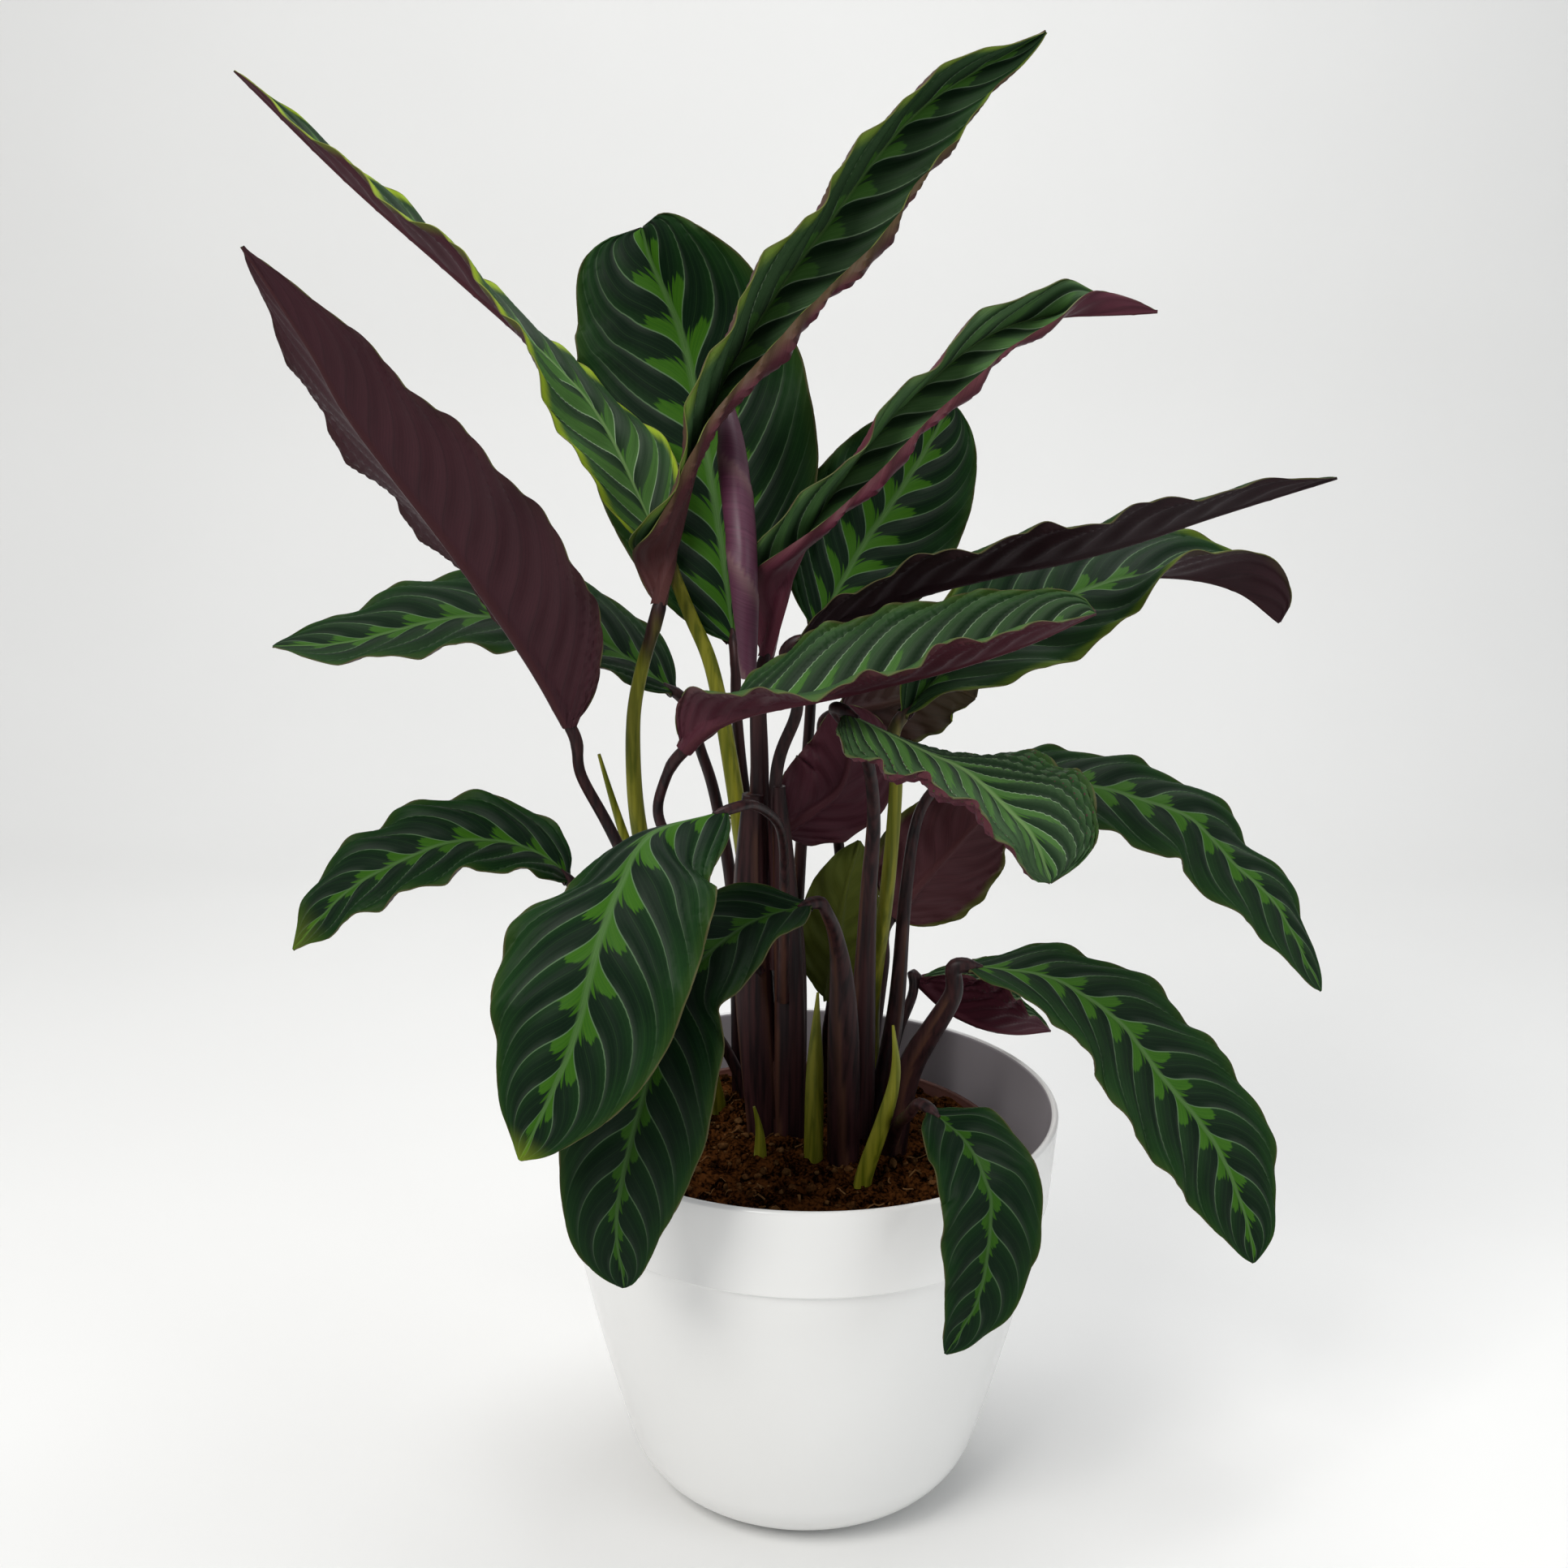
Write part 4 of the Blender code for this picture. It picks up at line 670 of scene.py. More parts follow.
def course_of(stem, leaves):
    """The stem's course, from its foot in the soil to a little way under the blade that it carries."""
    course = list(stem.course)
    if stem.rooted:
        course.insert(0, np.array([course[0][0], course[0][1], STEM_FOOT_Z]))
    if stem.leaf:
        line, way = along(leaves[stem.leaf].rib, 2)
        course += [line[0] - way[0] * STALK_LEAD, line[0] + way[0] * STALK_REACH]
    return course


def smooth_line(stem, leaves, rings):
    """Evenly spaced points up the stem, with the course's small kinks evened out."""
    line, _ = along(course_of(stem, leaves), rings)
    for _ in range(STEM_SMOOTHING):
        line[1:-1] = (line[:-2] + 2 * line[1:-1] + line[2:]) / 4
    return line, unit(np.gradient(line, axis=0))


def stem_radii(stem, shares, length):
    """The radius up the stem, with the swelling just under the blade."""
    radius = steps(stem.radii, shares).clip(RIB_TIP_RADIUS)
    if not stem.leaf:
        return radius
    left = (1 - shares) * length - STALK_REACH
    swell = blend(left, PULVINUS, PULVINUS * PULVINUS_FADE) * blend(left, *PULVINUS_END)
    return radius * (1 + PULVINUS_SWELL * swell) * (1 - HIDDEN_NARROWING * blend(left, 0, -STALK_REACH))


def stem_tube(stem, leaves):
    """A closed tube up the stem, with the edges of the sheaths that wrap it."""
    length = curve_length(course_of(stem, leaves))
    rings = round(length / STEM_RING) + 1
    line, way = smooth_line(stem, leaves, rings)
    shares = np.linspace(0, 1, rings)
    sides = STEM_SIDES if max(stem.radii) > THIN_STEM else THIN_STEM_SIDES
    turn = np.arange(sides) * 2 * np.pi / sides
    laps, twist, start, top = stem.wrap
    lap = (laps * turn / 2 / np.pi + twist * shares[:, None] + start) % 1
    saw = np.where(lap < 1 - LAP_WIDTH, lap / (1 - LAP_WIDTH), (1 - lap) / LAP_WIDTH)
    present = blend(shares, top, top - LAP_FADE)[:, None] * (laps > 0)
    flutes = FLUTES * np.cos(FLUTE_COUNT * turn + FLUTE_SHIFT * start)
    growth = 1 + LAP_STEP * (saw - LAP_MIDDLE) * present + flutes * blend(shares, 0, FLUTE_START)[:, None]
    radius = stem_radii(stem, shares, length)[:, None] * growth
    across = np.array([1.0, 0.0, 0.0])
    found = []
    for centre, direction, size in zip(line, way, radius):
        across = unit(across - np.dot(across, direction) * direction)
        other = np.cross(direction, across)
        spokes = np.cos(turn)[:, None] * across + np.sin(turn)[:, None] * other
        found.append(centre + size[:, None] * spokes)
    values = {"share": np.repeat(shares, sides), "green": np.repeat(steps(stem.green, shares), sides),
              "lap": (blend(saw, LAP_EDGE, 1) * present).ravel(), "turn": np.tile(turn, rings)}
    return np.array(found), values


def ring_mesh(rings):
    """A closed skin over rings of points, with flat ends."""
    count, sides = rings.shape[:2]
    start = (np.arange(count - 1)[:, None] * sides + np.arange(sides)).ravel()
    after = (np.arange(count - 1)[:, None] * sides + (np.arange(sides) + 1) % sides).ravel()
    faces = np.stack([start, after, after + sides, start + sides], axis=1).tolist()
    faces += [list(range(sides))[::-1], list(range((count - 1) * sides, count * sides))]
    return rings.reshape(-1, 3), faces


def fuse(base, others):
    """One Boolean with a collection of objects, applied, after which those objects are removed."""
    group = bpy.data.collections.new("others")
    for other in others:
        group.objects.link(other)
    step = base.modifiers.new("join", "BOOLEAN")
    step.operation = "UNION"
    step.operand_type = "COLLECTION"
    step.collection = group
    step.solver = "MANIFOLD"
    bpy.context.view_layer.update()
    finished = bpy.data.meshes.new_from_object(base.evaluated_get(bpy.context.evaluated_depsgraph_get()))
    base.modifiers.remove(step)
    base.data = finished
    for other in others:
        bpy.data.objects.remove(other)
    bpy.data.collections.remove(group)


def keep_values(mesh, points, values):
    """Gives each point of a fused mesh the values of the nearest point that was fused."""
    tree = KDTree(len(points))
    for number, point in enumerate(points):
        tree.insert(point, number)
    tree.balance()
    nearest = [tree.find(vertex.co)[1] for vertex in mesh.vertices]
    for name, numbers in values.items():
        found = mesh.attributes.get(name) or mesh.attributes.new(name, "FLOAT", "POINT")
        found.data.foreach_set("value", numbers[nearest].astype(np.float32))


def build_shoot(shoot, stems, leaves):
    """The stalks and sheaths of one shoot, joined where they meet."""
    material = "rolled_leaf" if shoot == "leaf_rolled" else "stalk"
    tubes = [stem_tube(stem, leaves) for stem in stems]
    made = []
    for number, (rings, values) in enumerate(tubes):
        points, faces = ring_mesh(rings)
        made.append(new_object(f"{shoot}.part{number}", points, faces, [material], None, values))
    if len(made) > 1:
        fuse(made[0], made[1:])
        points = np.vstack([rings.reshape(-1, 3) for rings, values in tubes])
        names = tubes[0][1]
        values = {name: np.concatenate([kept[name] for rings, kept in tubes]) for name in names}
        keep_values(made[0].data, points, values)
    made[0].name = shoot + ".stalks"
    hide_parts(shoot)


def turned(profile, segments, inside_from=None):
    """A profile of (radius, height) pairs turned round the Z axis, its ends on the axis.

    Faces from the given ring on get the second material."""
    turn = np.arange(segments) * 2 * np.pi / segments
    radius, height = np.array(profile[1:-1]).T
    rings = np.stack([radius[:, None] * np.cos(turn), radius[:, None] * np.sin(turn),
                      np.tile(height[:, None], (1, segments))], axis=2)
    points = np.vstack([[(0, 0, profile[0][1])], rings.reshape(-1, 3), [(0, 0, profile[-1][1])]])
    side = np.arange(segments)
    after = (side + 1) % segments
    faces = np.stack([np.zeros(segments, int), 1 + after, 1 + side], axis=1).tolist()
    slots = [0] * segments
    for ring in range(len(radius) - 1):
        low = 1 + ring * segments
        high = low + segments
        faces += np.stack([low + side, low + after, high + after, high + side], axis=1).tolist()
        slots += [int(inside_from is not None and ring >= inside_from)] * segments
    faces += np.stack([high + side, high + after, np.full(segments, len(points) - 1)], axis=1).tolist()
    slots += [slots[-1]] * segments
    return points, faces, slots


def pot_corner(inset):
    """The rounded corner between the pot's floor and its side, or its inside."""
    radius = POT_CORNER_RADIUS - inset
    centre = POT_BODY_FOOT_RADIUS - POT_CORNER_RADIUS * math.sin(POT_CORNER_TURN)
    return [(centre + radius * math.sin(a), POT_CORNER_RADIUS - radius * math.cos(a))
            for a in np.linspace(0, POT_CORNER_TURN, CORNER_ROWS)]


def pot_outside():
    """The outer profile from the floor up to the foot of the rim's rounding."""
    foot = POT_BODY_FOOT_RADIUS
    corner = pot_corner(0)
    top = POT_HEIGHT - POT_BAND_HEIGHT
    body = []
    for share in np.linspace(0, 1, BODY_ROWS)[1:-1]:
        radius = foot + (POT_BODY_TOP_RADIUS - foot) * share + POT_BODY_BULGE * 4 * share * (1 - share)
        body.append((radius, corner[-1][1] + (top - corner[-1][1]) * share))
    ledge = [(POT_BODY_TOP_RADIUS + (POT_BAND_FOOT_RADIUS - POT_BODY_TOP_RADIUS) * blend(share, 0, 1),
              top + POT_LEDGE * (share - 0.5)) for share in np.linspace(0, 1, LEDGE_ROWS)]
    band = [(POT_BAND_FOOT_RADIUS + (POT_RIM_RADIUS - POT_BAND_FOOT_RADIUS) * share,
             top + POT_LEDGE + (POT_BAND_HEIGHT - POT_LEDGE - POT_WALL / 2) * share)
            for share in np.linspace(0, 1, BAND_ROWS)]
    return corner + body + ledge + band


def build_pot():
    outside = pot_outside()
    centre = POT_RIM_RADIUS - POT_WALL / 2
    rim = [(centre + POT_WALL / 2 * math.cos(a), POT_HEIGHT - POT_WALL / 2 * (1 - math.sin(a)))
           for a in np.linspace(0, math.pi, RIM_ROWS)[1:]]
    corner = pot_corner(POT_WALL)
    inside = [(radius - POT_WALL, height) for radius, height in outside[-2:len(corner):-1]]
    profile = [(0, 0)] + outside + rim + inside + corner[::-1] + [(0, POT_WALL)]
    points, faces, slots = turned(profile, POT_SEGMENTS, len(outside) + POT_LIP_RING)
    made = new_object("pot.cover", points, faces, ["pot_outside", "pot_inside"], slots)
    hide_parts("pot")


def inner_foot(inset, rise):
    """The bevelled foot of the grower's pot, of its inside or of the soil: its floor, then its side."""
    floor = POT_WALL + GAP + rise
    across, up = INNER_FOOT_BEVEL
    return [(INNER_FOOT_RADIUS - across - inset, floor), (INNER_FOOT_RADIUS - inset, floor + up)]


def build_inner_pot():
    """The grower's pot, whose lip is rolled outwards."""
    top = POT_HEIGHT - INNER_RIM_DROP
    wall_top = INNER_RIM_RADIUS - INNER_LIP
    foot = inner_foot(0, 0)
    outside = foot + [(wall_top, top - INNER_LIP_DEPTH)]
    lip = [(INNER_RIM_RADIUS, top - INNER_LIP_DEPTH + INNER_LIP_BEVEL),
           (INNER_RIM_RADIUS, top - INNER_LIP / 2)]
    middle = INNER_RIM_RADIUS - INNER_LIP / 2
    lip += [(middle + INNER_LIP / 2 * math.cos(a), top - INNER_LIP / 2 * (1 - math.sin(a)))
            for a in np.linspace(0, math.pi, INNER_LIP_ROWS)[1:]]
    inside = [(wall_top - INNER_WALL, top - INNER_LIP)] + inner_foot(INNER_WALL, INNER_WALL)[::-1]
    profile = [(0, foot[0][1])] + outside + lip + inside + [(0, inside[-1][1])]
    points, faces, slots = turned(profile, INNER_SEGMENTS)
    made = new_object("inner_pot.grower", points, faces, ["grower_pot"], slots)
    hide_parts("inner_pot")


def soil_height(radius):
    """A low heap round the stems."""
    level = POT_HEIGHT - INNER_RIM_DROP - SOIL_DROP
    return level + SOIL_HEAP * (1 - (radius / INNER_RIM_RADIUS) ** 2)


def lumps(spots, size, draw):
    """Smooth random heights from -1 to 1 over a plane, with bumps of that size."""
    grid = draw.uniform(-1, 1, (LUMP_GRID + 1, LUMP_GRID + 1))
    spots = spots / size + LUMP_GRID / 2
    cell = np.floor(spots).astype(int) % LUMP_GRID
    share = blend(spots % 1, 0, 1)
    x, y = cell.T
    near = grid[x, y] * (1 - share[:, 1]) + grid[x, y + 1] * share[:, 1]
    far = grid[x + 1, y] * (1 - share[:, 1]) + grid[x + 1, y + 1] * share[:, 1]
    return near * (1 - share[:, 0]) + far * share[:, 0]


def soil_surface(spots):
    """The soil's height at places on it, with its lumps."""
    height = soil_height(np.linalg.norm(spots, axis=1))
    for number, (size, rise) in enumerate(SOIL_LUMPS):
        height = height + rise * lumps(spots, size, np.random.default_rng(SEED + number))
    return height


def random_spot(draw, edge):
    """A place on the soil, all of which are equally likely."""
    angle, radius = draw.uniform(0, 2 * np.pi), edge * draw.uniform(0, 1) ** 0.5
    return np.array([radius * np.cos(angle), radius * np.sin(angle)])


def crumb_shape():
    """A small round lump, as points and triangles."""
    mesh = bpy.data.meshes.new("crumb")
    lump = bmesh.new()
    bmesh.ops.create_icosphere(lump, subdivisions=2, radius=1)
    lump.to_mesh(mesh)
    lump.free()
    points = np.array([vertex.co for vertex in mesh.vertices])
    faces = np.array([list(face.vertices) for face in mesh.polygons])
    bpy.data.meshes.remove(mesh)
    return points, faces


def crumbs(draw, edge):
    """Loose crumbs that lie on the soil, each with a shade of its own."""
    shape, faces = crumb_shape()
    small, large = CRUMB_SIZES
    all_points, all_faces, shades = [], [], []
    for number in range(CRUMBS):
        spot = random_spot(draw, edge)
        size = small + (large - small) * draw.uniform(0, 1) ** CRUMB_SMALLNESS
        stretch = size * draw.uniform(*CRUMB_STRETCH, 3)
        rough = 1 + draw.uniform(-CRUMB_ROUGHNESS, CRUMB_ROUGHNESS, (len(shape), 1))
        height = soil_surface(spot[None])[0] + size * draw.uniform(*CRUMB_LIFT)
        all_points.append(shape * rough * stretch + [*spot, height])
        all_faces.append(faces + number * len(shape))
        shades.append(np.full(len(shape), draw.uniform(0, 1)))
    return np.vstack(all_points), np.vstack(all_faces), np.concatenate(shades)


def fibre(draw, edge):
    """One root fibre or bark splinter, as rings of points along a bent line on the soil."""
    start = random_spot(draw, edge)
    heading = draw.uniform(0, 2 * np.pi)
    length = draw.uniform(*FIBRE_LENGTHS)
    bend = draw.uniform(-1, 1)
    out = np.linspace(0, length, FIBRE_POINTS)
    heads = heading + bend * out / length
    spots = start + np.stack([out * np.cos(heads), out * np.sin(heads)], axis=1)
    line = np.column_stack([spots, soil_surface(spots) + draw.uniform(*FIBRE_LIFT)])
    turn = np.arange(FIBRE_SIDES) * 2 * np.pi / FIBRE_SIDES
    side = np.array([-np.sin(heading), np.cos(heading), 0])
    spokes = np.cos(turn)[:, None] * side + np.sin(turn)[:, None] * [0, 0, 1]
    return line[:, None] + draw.uniform(*FIBRE_RADII) * spokes


def fibres(draw, edge):
    """Fine root fibres and bark splinters on the soil."""
    all_points, all_faces, count = [], [], 0
    for _ in range(FIBRES):
        points, faces = ring_mesh(fibre(draw, edge * FIBRE_REACH))
        all_points.append(points)
        all_faces += [[corner + count for corner in face] for face in faces]
        count += len(points)
    return np.vstack(all_points), all_faces


def build_soil():
    """The soil's fine surface with its loose crumbs and fibres."""
    foot = inner_foot(INNER_WALL + GAP, INNER_WALL + GAP)
    wall_top = INNER_RIM_RADIUS - INNER_LIP - INNER_WALL
    level = soil_height(INNER_RIM_RADIUS)
    share = (level - foot[1][1]) / (POT_HEIGHT - INNER_RIM_DROP - foot[1][1])
    edge = foot[1][0] + (wall_top - GAP - foot[1][0]) * share - GAP
    rings = [(radius, level) for radius in np.linspace(edge, edge / SOIL_RINGS, SOIL_RINGS)]
    points, faces, _ = turned([(0, foot[0][1])] + foot + rings + [(0, level)], SOIL_SEGMENTS)
    loose = slice(1 + len(foot) * SOIL_SEGMENTS, None)
    points[loose, 2] = soil_surface(points[loose, :2])
    draw = np.random.default_rng(SEED)
    crumb_points, crumb_faces, shades = crumbs(draw, edge - CRUMB_SIZES[1])
    fibre_points, fibre_faces = fibres(draw, edge - CRUMB_SIZES[1])
    faces += (crumb_faces + len(points)).tolist()
    before = len(points) + len(crumb_points)
    faces += [[corner + before for corner in face] for face in fibre_faces]
    shade = np.r_[np.full(len(points), GROUND_SHADE), shades, np.full(len(fibre_points), FIBRE_SHADE)]
    points = np.vstack([points, crumb_points, fibre_points])
    made = new_object("soil.ground", points, faces, ["loose_soil"], None, {"shade": shade})
    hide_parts("soil")


class Graph:
    """A material's nodes, written as sums."""

    def __init__(self, name):
        made = bpy.data.materials.new(name)
        made.use_nodes = True
        self.nodes = made.node_tree.nodes
        self.links = made.node_tree.links
        self.shader = self.nodes["Principled BSDF"]

    def feed(self, socket, value):
        """Links a socket to another one, or sets it to a plain value."""
        if isinstance(value, bpy.types.NodeSocket):
            self.links.new(value, socket)
        elif isinstance(value, tuple) and len(value) == 3 and socket.type == "RGBA":
            socket.default_value = (*value, 1)
        else:
            socket.default_value = value

    def value(self, name):
        """A value that the mesh keeps at its points."""
        node = self.nodes.new("ShaderNodeAttribute")
        node.attribute_name = name
        return node.outputs["Fac"]

    def sum(self, operation, *values):
        node = self.nodes.new("ShaderNodeMath")
        node.operation = operation
        for socket, value in zip(node.inputs, values):
            self.feed(socket, value)
        return node.outputs[0]

    def times(self, *values):
        product = values[0]
        for value in values[1:]:
            product = self.sum("MULTIPLY", product, value)
        return product

    def plus(self, first, second):
        return self.sum("ADD", first, second)

    def minus(self, first, second):
        return self.sum("SUBTRACT", first, second)

    def off(self, value, middle):
        """How far a value is from the middle one."""
        return self.sum("ABSOLUTE", self.minus(value, middle))

    def rise(self, value, low, high, top=1.0):
        """0 up to low, top from high on, and smooth in between."""
        node = self.nodes.new("ShaderNodeMapRange")
        node.interpolation_type = "SMOOTHSTEP"
        for name, given in (("Value", value), ("From Min", low), ("From Max", high), ("To Max", top)):
            self.feed(node.inputs[name], given)
        return node.outputs["Result"]

    def stripes(self, value, wide, narrow, top=1.0):
        """Lines halfway between the whole numbers: top within narrow of them, 0 from wide on."""
        return self.rise(self.off(self.sum("FRACT", value), 0.5), wide, narrow, top)

    def mix(self, share, first, second):
        """The first colour where share is 0, and the second one where it is 1."""
        node = self.nodes.new("ShaderNodeMix")
        node.data_type = "RGBA"
        for number, given in ((0, share), (6, first), (7, second)):
            self.feed(node.inputs[number], given)
        return node.outputs[2]

    def vector(self, x, y, z):
        node = self.nodes.new("ShaderNodeCombineXYZ")
        for socket, value in zip(node.inputs, (x, y, z)):
            self.feed(socket, value)
        return node.outputs[0]

    def place(self, x=1.0, y=1.0, z=1.0):
        """Where the point is on the object, stretched along each axis."""
        where = self.nodes.new("ShaderNodeTexCoord").outputs["Object"]
        node = self.nodes.new("ShaderNodeVectorMath")
        node.operation = "MULTIPLY"
        self.feed(node.inputs[0], where)
        node.inputs[1].default_value = (x, y, z)
        return node.outputs[0]

    def noise(self, vector, scale, detail=2.0):
        node = self.nodes.new("ShaderNodeTexNoise")
        self.feed(node.inputs["Vector"], vector)
        node.inputs["Scale"].default_value = scale
        node.inputs["Detail"].default_value = detail
        return node.outputs["Fac"]

    def strands(self, across, out, detail=2.0):
        """Noise that is drawn out along a blade's side veins."""
        cell, reach = self.times(self.value("cell"), across), self.times(self.value("reach"), out)
        return self.noise(self.vector(cell, reach, self.value("share")), 1.0, detail)

    def finish(self, colour, roughness, **plain):
        """Feeds the shader. Plain values are set on its own sockets, with _ for a space in their names."""
        self.feed(self.shader.inputs["Base Color"], colour)
        self.feed(self.shader.inputs["Roughness"], roughness)
        for name, value in plain.items():
            self.feed(self.shader.inputs[name.replace("_", " ")], value)


def dark_and_green(g, spot, streaks, fine, dark):
    """Dark between the side veins, and greener towards the margin and just beyond each vein."""
    reach = g.value("reach")
    outer = g.rise(g.plus(reach, g.times(streaks, 0.30)), 0.66, 1.10)
    beside = g.times(g.rise(spot, 0.45, 0.02), g.rise(reach, 0.9, 0.5))
    middle = g.mix(fine, *LEAF_GREEN)
    return g.mix(g.sum("MAXIMUM", outer, g.times(beside, 0.7)), dark, middle)


def feathering(g, spot, streaks):
    """Where a blade is bright: in a ragged patch beyond each side vein, and a tooth before the next."""
    reach = g.value("reach")
    wedge = g.times(g.value("wedge"), g.plus(1.25, g.times(g.value("share"), -0.6)))
    across, out = g.sum("DIVIDE", spot, WEDGE_SHARE), g.sum("DIVIDE", reach, wedge)
    far = g.plus(g.times(across, across), g.times(out, out))
    patch = g.plus(g.minus(1.0, far), g.times(g.minus(streaks, 0.5), 1.3))
    tooth = g.plus(g.times(g.off(spot, 0.60), 5.0), g.times(reach, 6.5))
    return g.rise(g.sum("MAXIMUM", patch, g.minus(0.85, tooth)), -0.06, 0.14)


def pale_veins(g, colour, light):
    """The colour with pale side veins, finer lines between them, and the midrib, the veins and midrib paler
    still under painted light.
    """
    cell, reach = g.value("cell"), g.value("reach")
    vein = g.times(g.stripes(g.plus(cell, 0.5), 0.034, 0.009), g.rise(reach, 1.15, 0.30, 0.85))
    # The veins get paler where painted light is laid.
    pale = g.mix(g.rise(light, 0.0, 0.5), *VEIN)
    colour = g.mix(vein, colour, pale)
    colour = g.mix(g.stripes(cell, 0.026, 0.006, 0.12), colour, SECOND_VEIN)
    colour = g.mix(g.stripes(g.times(cell, 8.0), 0.20, 0.04, 0.035), colour, FINE_VEIN)
    band = g.rise(reach, 0.056, 0.018)
    lines = g.noise(g.vector(g.times(reach, 90.0), g.times(g.value("share"), 6.0), 0.0), 1.0)
    rib = g.mix(lines, *MIDRIB)
    colour = g.mix(g.times(band, 0.85), colour, rib)
    # Painted light on the midrib.
    return g.mix(g.times(band, light), colour, MIDRIB_PAINTED_LIGHT)


def blade_top():
    """Velvety dark green between the side veins, bright feathering along the midrib and pale veins, with
    painted sheen, painted light and painted shade laid over them.
    """
    g = Graph("blade_top")
    reach, light = g.value("reach"), g.value("light")
    spot = g.sum("FRACT", g.value("cell"))
    streaks, fine = g.strands(11.0, 1.6, 3.0), g.strands(34.0, 3.0)
    mottle = g.noise(g.place(), 55.0, 3.0)
    dark = g.mix(mottle, *LEAF_DARK)
    colour = dark_and_green(g, spot, streaks, fine, dark)
    lit = g.mix(fine, *LEAF_BRIGHT)
    colour = g.mix(g.times(feathering(g, spot, streaks), 0.95), colour, lit)
    # Painted sheen: grey streaks just before each side vein, between the midrib band and the margin.
    painted_sheen = g.times(g.rise(spot, 0.72, 0.98), g.rise(reach, 0.16, 0.36), g.rise(reach, 0.95, 0.70), fine)
    colour = g.mix(g.times(painted_sheen, 0.50), colour, LEAF_PAINTED_SHEEN)
    # Painted light and sheen, strongest just beyond each side vein and fainter in the dark bands.
    strip = g.plus(0.25, g.rise(spot, 0.80, 0.20))
    painted_light = g.times(light, strip, g.plus(0.30, g.times(fine, 0.6)))
    colour = pale_veins(g, g.mix(painted_light, colour, LEAF_PAINTED_LIGHT), light)
    # Painted shade: a leaf in shadow is darkened up to halfway towards the dark velvet colour.
    colour = g.mix(g.value("deep"), colour, g.mix(0.5, colour, dark))
    yellow = g.mix(fine, *LEAF_YELLOW)
    margin = g.times(g.rise(g.plus(reach, g.times(streaks, 0.08)), 0.90, 1.02), g.value("rim"))
    colour = g.mix(g.sum("MAXIMUM", g.value("gold"), margin), colour, yellow)
    colour = g.mix(g.rise(reach, 0.975, 0.998, 0.50), colour, LEAF_EDGE)
    g.finish(colour, g.plus(0.44, g.times(mottle, 0.16)), Specular_IOR_Level=0.08,
             Sheen_Weight=0.02, Sheen_Roughness=0.35, Sheen_Tint=(0.70, 0.75, 0.72))


def blade_under():
    """Wine purple, with darker veins and a greener margin where the leaf is young, and with painted light
    and painted shade.
    """
    g = Graph("blade_under")
    cell, reach = g.value("cell"), g.value("reach")
    fine, broad = g.strands(30.0, 3.0), g.noise(g.place(), 24.0, 3.0)
    tone = g.plus(g.times(fine, 0.5), g.times(broad, 0.5))
    colour = g.mix(tone, *UNDER_PURPLE)
    colour = g.mix(g.stripes(g.plus(cell, 0.5), 0.040, 0.010, 0.65), colour, UNDER_VEIN)
    colour = g.mix(g.stripes(g.times(cell, 8.0), 0.18, 0.03, 0.30), colour, UNDER_FINE_VEIN)
    colour = g.mix(g.rise(reach, 0.075, 0.030, 0.75), colour, UNDER_MIDRIB)
    # Painted light on the underside, in streaks.
    painted_light = g.times(g.value("light"), g.plus(0.2, g.times(fine, 0.8)))
    colour = g.mix(painted_light, colour, UNDER_PAINTED_LIGHT)
    green = g.mix(fine, *UNDER_GREEN)
    rim = g.times(g.rise(g.plus(reach, g.times(broad, 0.12)), 0.90, 1.05), g.value("rim"))
    colour = g.mix(g.sum("MAXIMUM", g.value("olive"), g.times(rim, 0.7)), colour, green)
    # Painted shade: the underside of a leaf in shadow is darkened towards near black.
    colour = g.mix(g.value("deep"), colour, UNDER_PAINTED_SHADE)
    g.finish(colour, g.plus(0.42, g.times(broad, 0.2)), Specular_IOR_Level=0.16,
             Sheen_Weight=0.05, Sheen_Roughness=0.4, Sheen_Tint=(0.80, 0.65, 0.72))


def stalk():
    """Dark purple above and yellow-green below, with fine lengthwise streaks and paler sheath edges."""
    g = Graph("stalk")
    streaks = g.noise(g.place(420.0, 420.0, 16.0), 1.0, 3.0)
    broad = g.noise(g.place(60.0, 60.0, 20.0), 1.0, 2.0)
    tone = g.rise(streaks, 0.3, 0.7)
    purple = g.mix(tone, *STALK_PURPLE)
    green = g.mix(tone, *STALK_GREEN)
    share = g.rise(g.plus(g.value("green"), g.times(g.minus(broad, 0.5), 0.7)), 0.30, 0.70)
    colour = g.mix(share, purple, green)
    edge = g.mix(share, *SHEATH_EDGE)
    colour = g.mix(g.times(g.value("lap"), 0.6), colour, edge)
    g.finish(colour, g.plus(0.36, g.times(broad, 0.2)), Specular_IOR_Level=0.22)


def rolled_leaf():
    """The underside of a leaf that is still rolled up, with its veins running round it."""
    g = Graph("rolled_leaf")
    share, turn = g.value("share"), g.value("turn")
    winding = g.plus(g.times(share, 60.0), turn)
    lines = g.rise(g.sum("ABSOLUTE", g.sum("SINE", g.times(winding, 2.0))), 0.25, 0.0)
    streaks = g.noise(g.vector(g.times(winding, 3.0), share, 0.0), 1.0)
    colour = g.mix(streaks, *ROLLED)
    colour = g.mix(g.times(lines, 0.4), colour, ROLLED_VEIN)
    colour = g.mix(g.times(g.value("lap"), 0.5), colour, ROLLED_EDGE)
    g.finish(colour, g.plus(0.38, g.times(streaks, 0.15)), Specular_IOR_Level=0.35)


def pot_materials():
    """Plain plastics with a faint grain."""
    for name, (scale, first, second, rough, rougher, gloss) in POT_LOOKS.items():
        g = Graph(name)
        faint = g.noise(g.place(), scale, 3.0)
        roughness = g.plus(rough, g.times(faint, rougher))
        g.finish(g.mix(faint, first, second), roughness, Specular_IOR_Level=gloss)


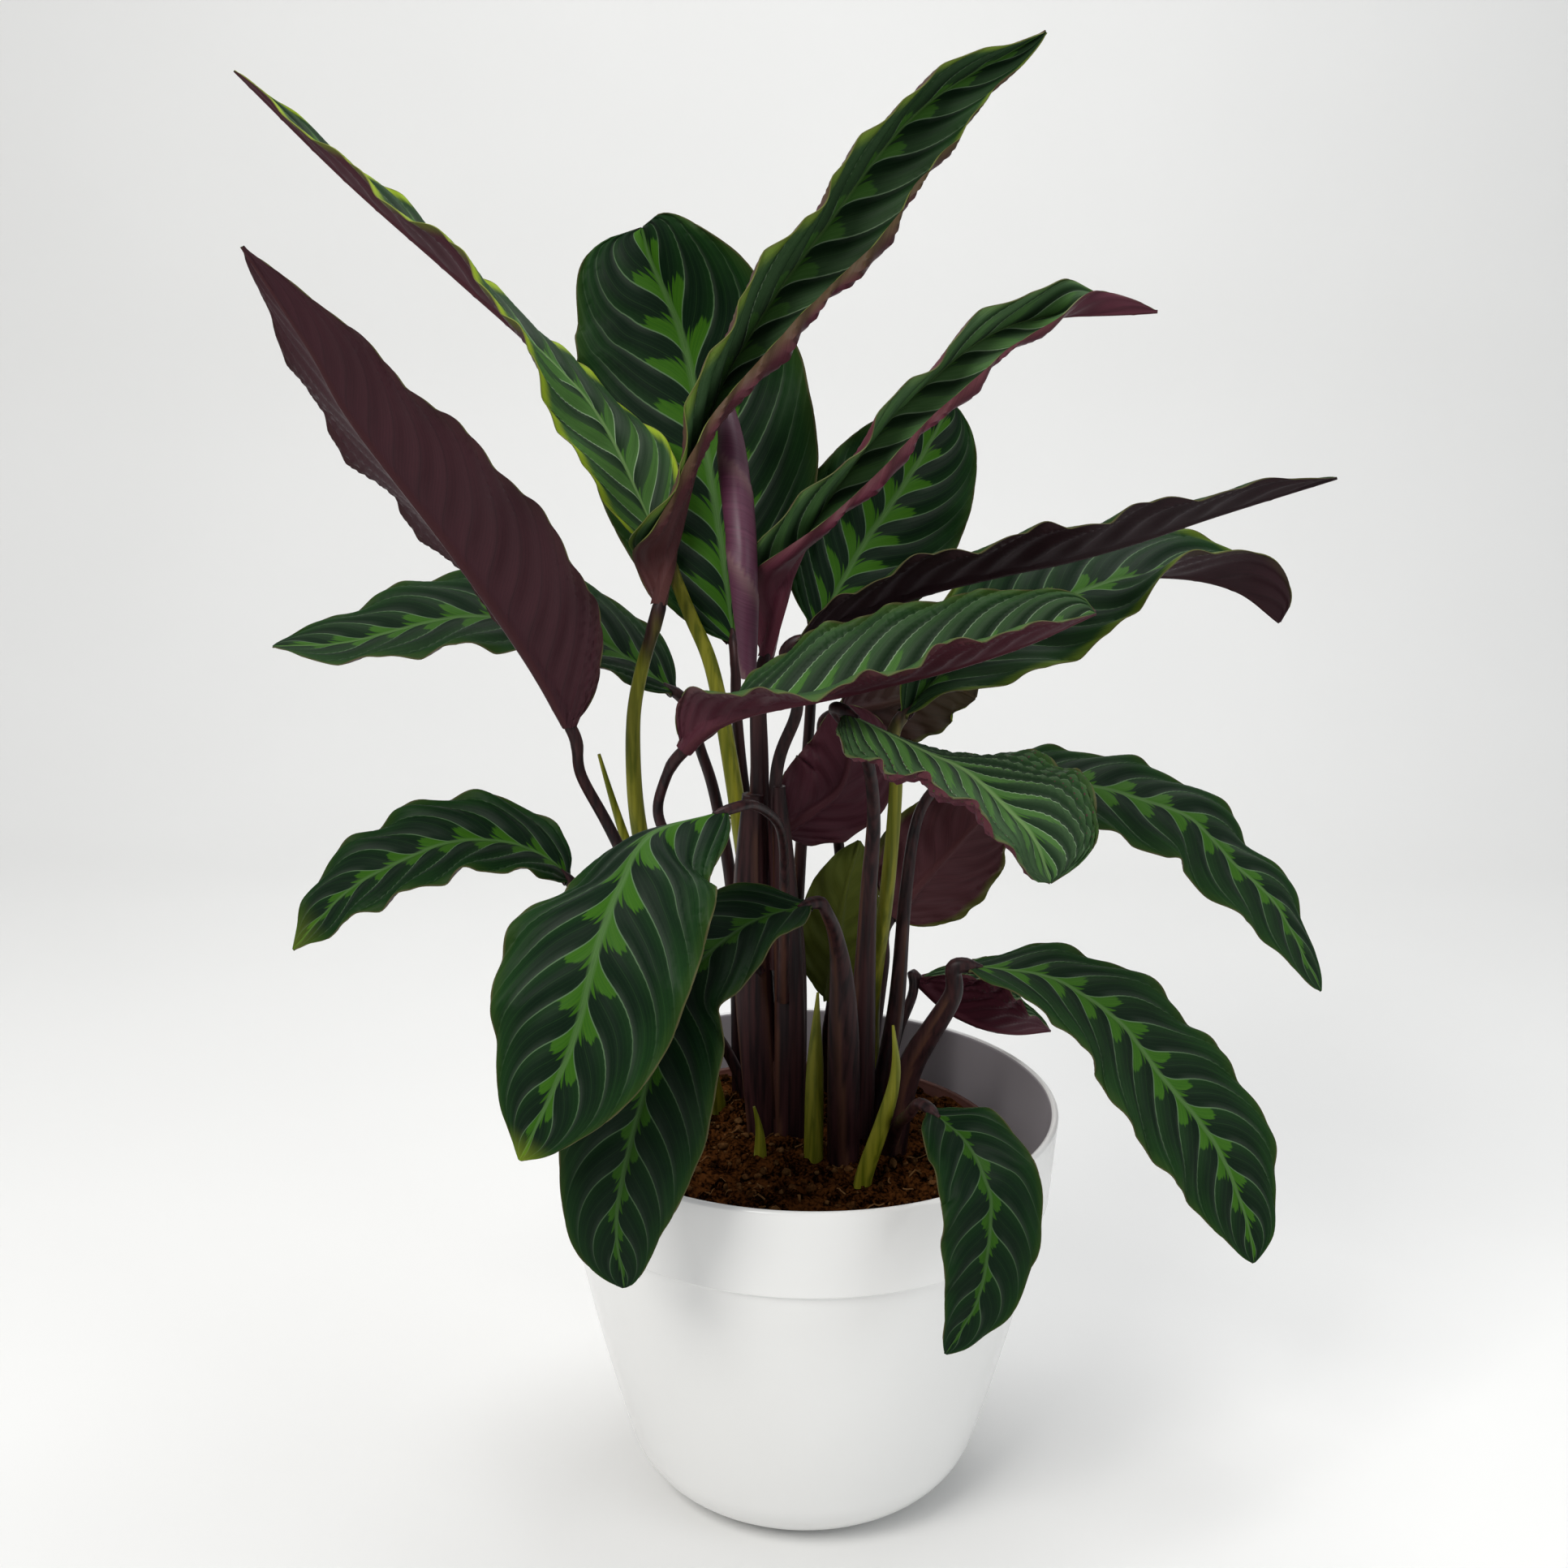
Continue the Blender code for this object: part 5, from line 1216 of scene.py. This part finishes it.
def ground_materials():
    """The soil with its crumbs, and the pale backdrop."""
    g = Graph("loose_soil")
    grain = g.noise(g.place(), 650.0, 3.0)
    broad = g.noise(g.place(), 110.0, 3.0)
    dark = g.mix(g.rise(g.plus(grain, broad), 0.80, 1.25), *SOIL_DARK)
    pale = g.mix(grain, *SOIL_PALE)
    g.finish(g.mix(g.rise(g.value("shade"), 0.55, 1.25), dark, pale), g.plus(0.8, g.times(grain, 0.2)),
             Specular_IOR_Level=0.0)
    g = Graph("backdrop")
    faint = g.noise(g.place(), 3.0, 2.0)
    g.finish(g.mix(faint, *BACKDROP), 0.55, Specular_IOR_Level=0.3)


def build_backdrop():
    """A floor that turns up into a wall behind."""
    bend = [(BACKDROP_DEPTH + BACKDROP_BEND * math.sin(a), BACKDROP_BEND * (1 - math.cos(a)))
            for a in np.linspace(0, math.pi / 2, BACKDROP_ROWS)]
    line = [(-BACKDROP_NEAR, 0)] + bend + [(BACKDROP_DEPTH + BACKDROP_BEND, BACKDROP_HEIGHT)]
    points = [(x, y, z) for y, z in line for x in (-BACKDROP_HALF_WIDTH, BACKDROP_HALF_WIDTH)]
    faces = [(2 * n, 2 * n + 1, 2 * n + 3, 2 * n + 2) for n in range(len(line) - 1)]
    new_object("backdrop", points, faces, ["backdrop"])


def build_light(name, location, size, power, colour):
    light = bpy.data.lights.new(name, "AREA")
    light.size = size
    light.energy = power
    light.color = colour
    lamp = bpy.data.objects.new(name, light)
    lamp.location = location
    lamp.rotation_mode = "QUATERNION"
    lamp.rotation_quaternion = (Vector(LIGHT_TARGET) - Vector(location)).to_track_quat("-Z", "Y")
    bpy.context.scene.collection.objects.link(lamp)


def build_studio():
    world = bpy.data.worlds.new("studio")
    world.use_nodes = True
    background = world.node_tree.nodes["Background"]
    background.inputs["Color"].default_value = WORLD_COLOUR
    background.inputs["Strength"].default_value = WORLD_STRENGTH
    bpy.context.scene.world = world
    bpy.context.scene.view_settings.view_transform = "Standard"
    for light in LIGHTS:
        build_light(*light)
    camera = bpy.data.objects.new("camera", bpy.data.cameras.new("camera"))
    camera.data.lens = CAMERA_LENS
    camera.data.sensor_width = CAMERA_SENSOR
    tilt = Matrix.Rotation(math.radians(90 - CAMERA_TILT), 4, "X")
    roll = Matrix.Rotation(math.radians(CAMERA_ROLL), 4, "Z")
    camera.matrix_world = Matrix.Translation(CAMERA_PLACE) @ tilt @ roll
    bpy.context.scene.collection.objects.link(camera)
    bpy.context.scene.camera = camera


def main():
    for make in (blade_top, blade_under, stalk, rolled_leaf, pot_materials, ground_materials):
        make()
    leaves = {leaf.name: leaf for leaf in LEAVES}
    for leaf in LEAVES:
        build_blade(leaf)
    for shoot, stems in SHOOTS.items():
        build_shoot(shoot, stems, leaves)
    build_pot()
    build_inner_pot()
    build_soil()
    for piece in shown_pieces():
        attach(piece, "root")
    build_backdrop()
    build_studio()


main()
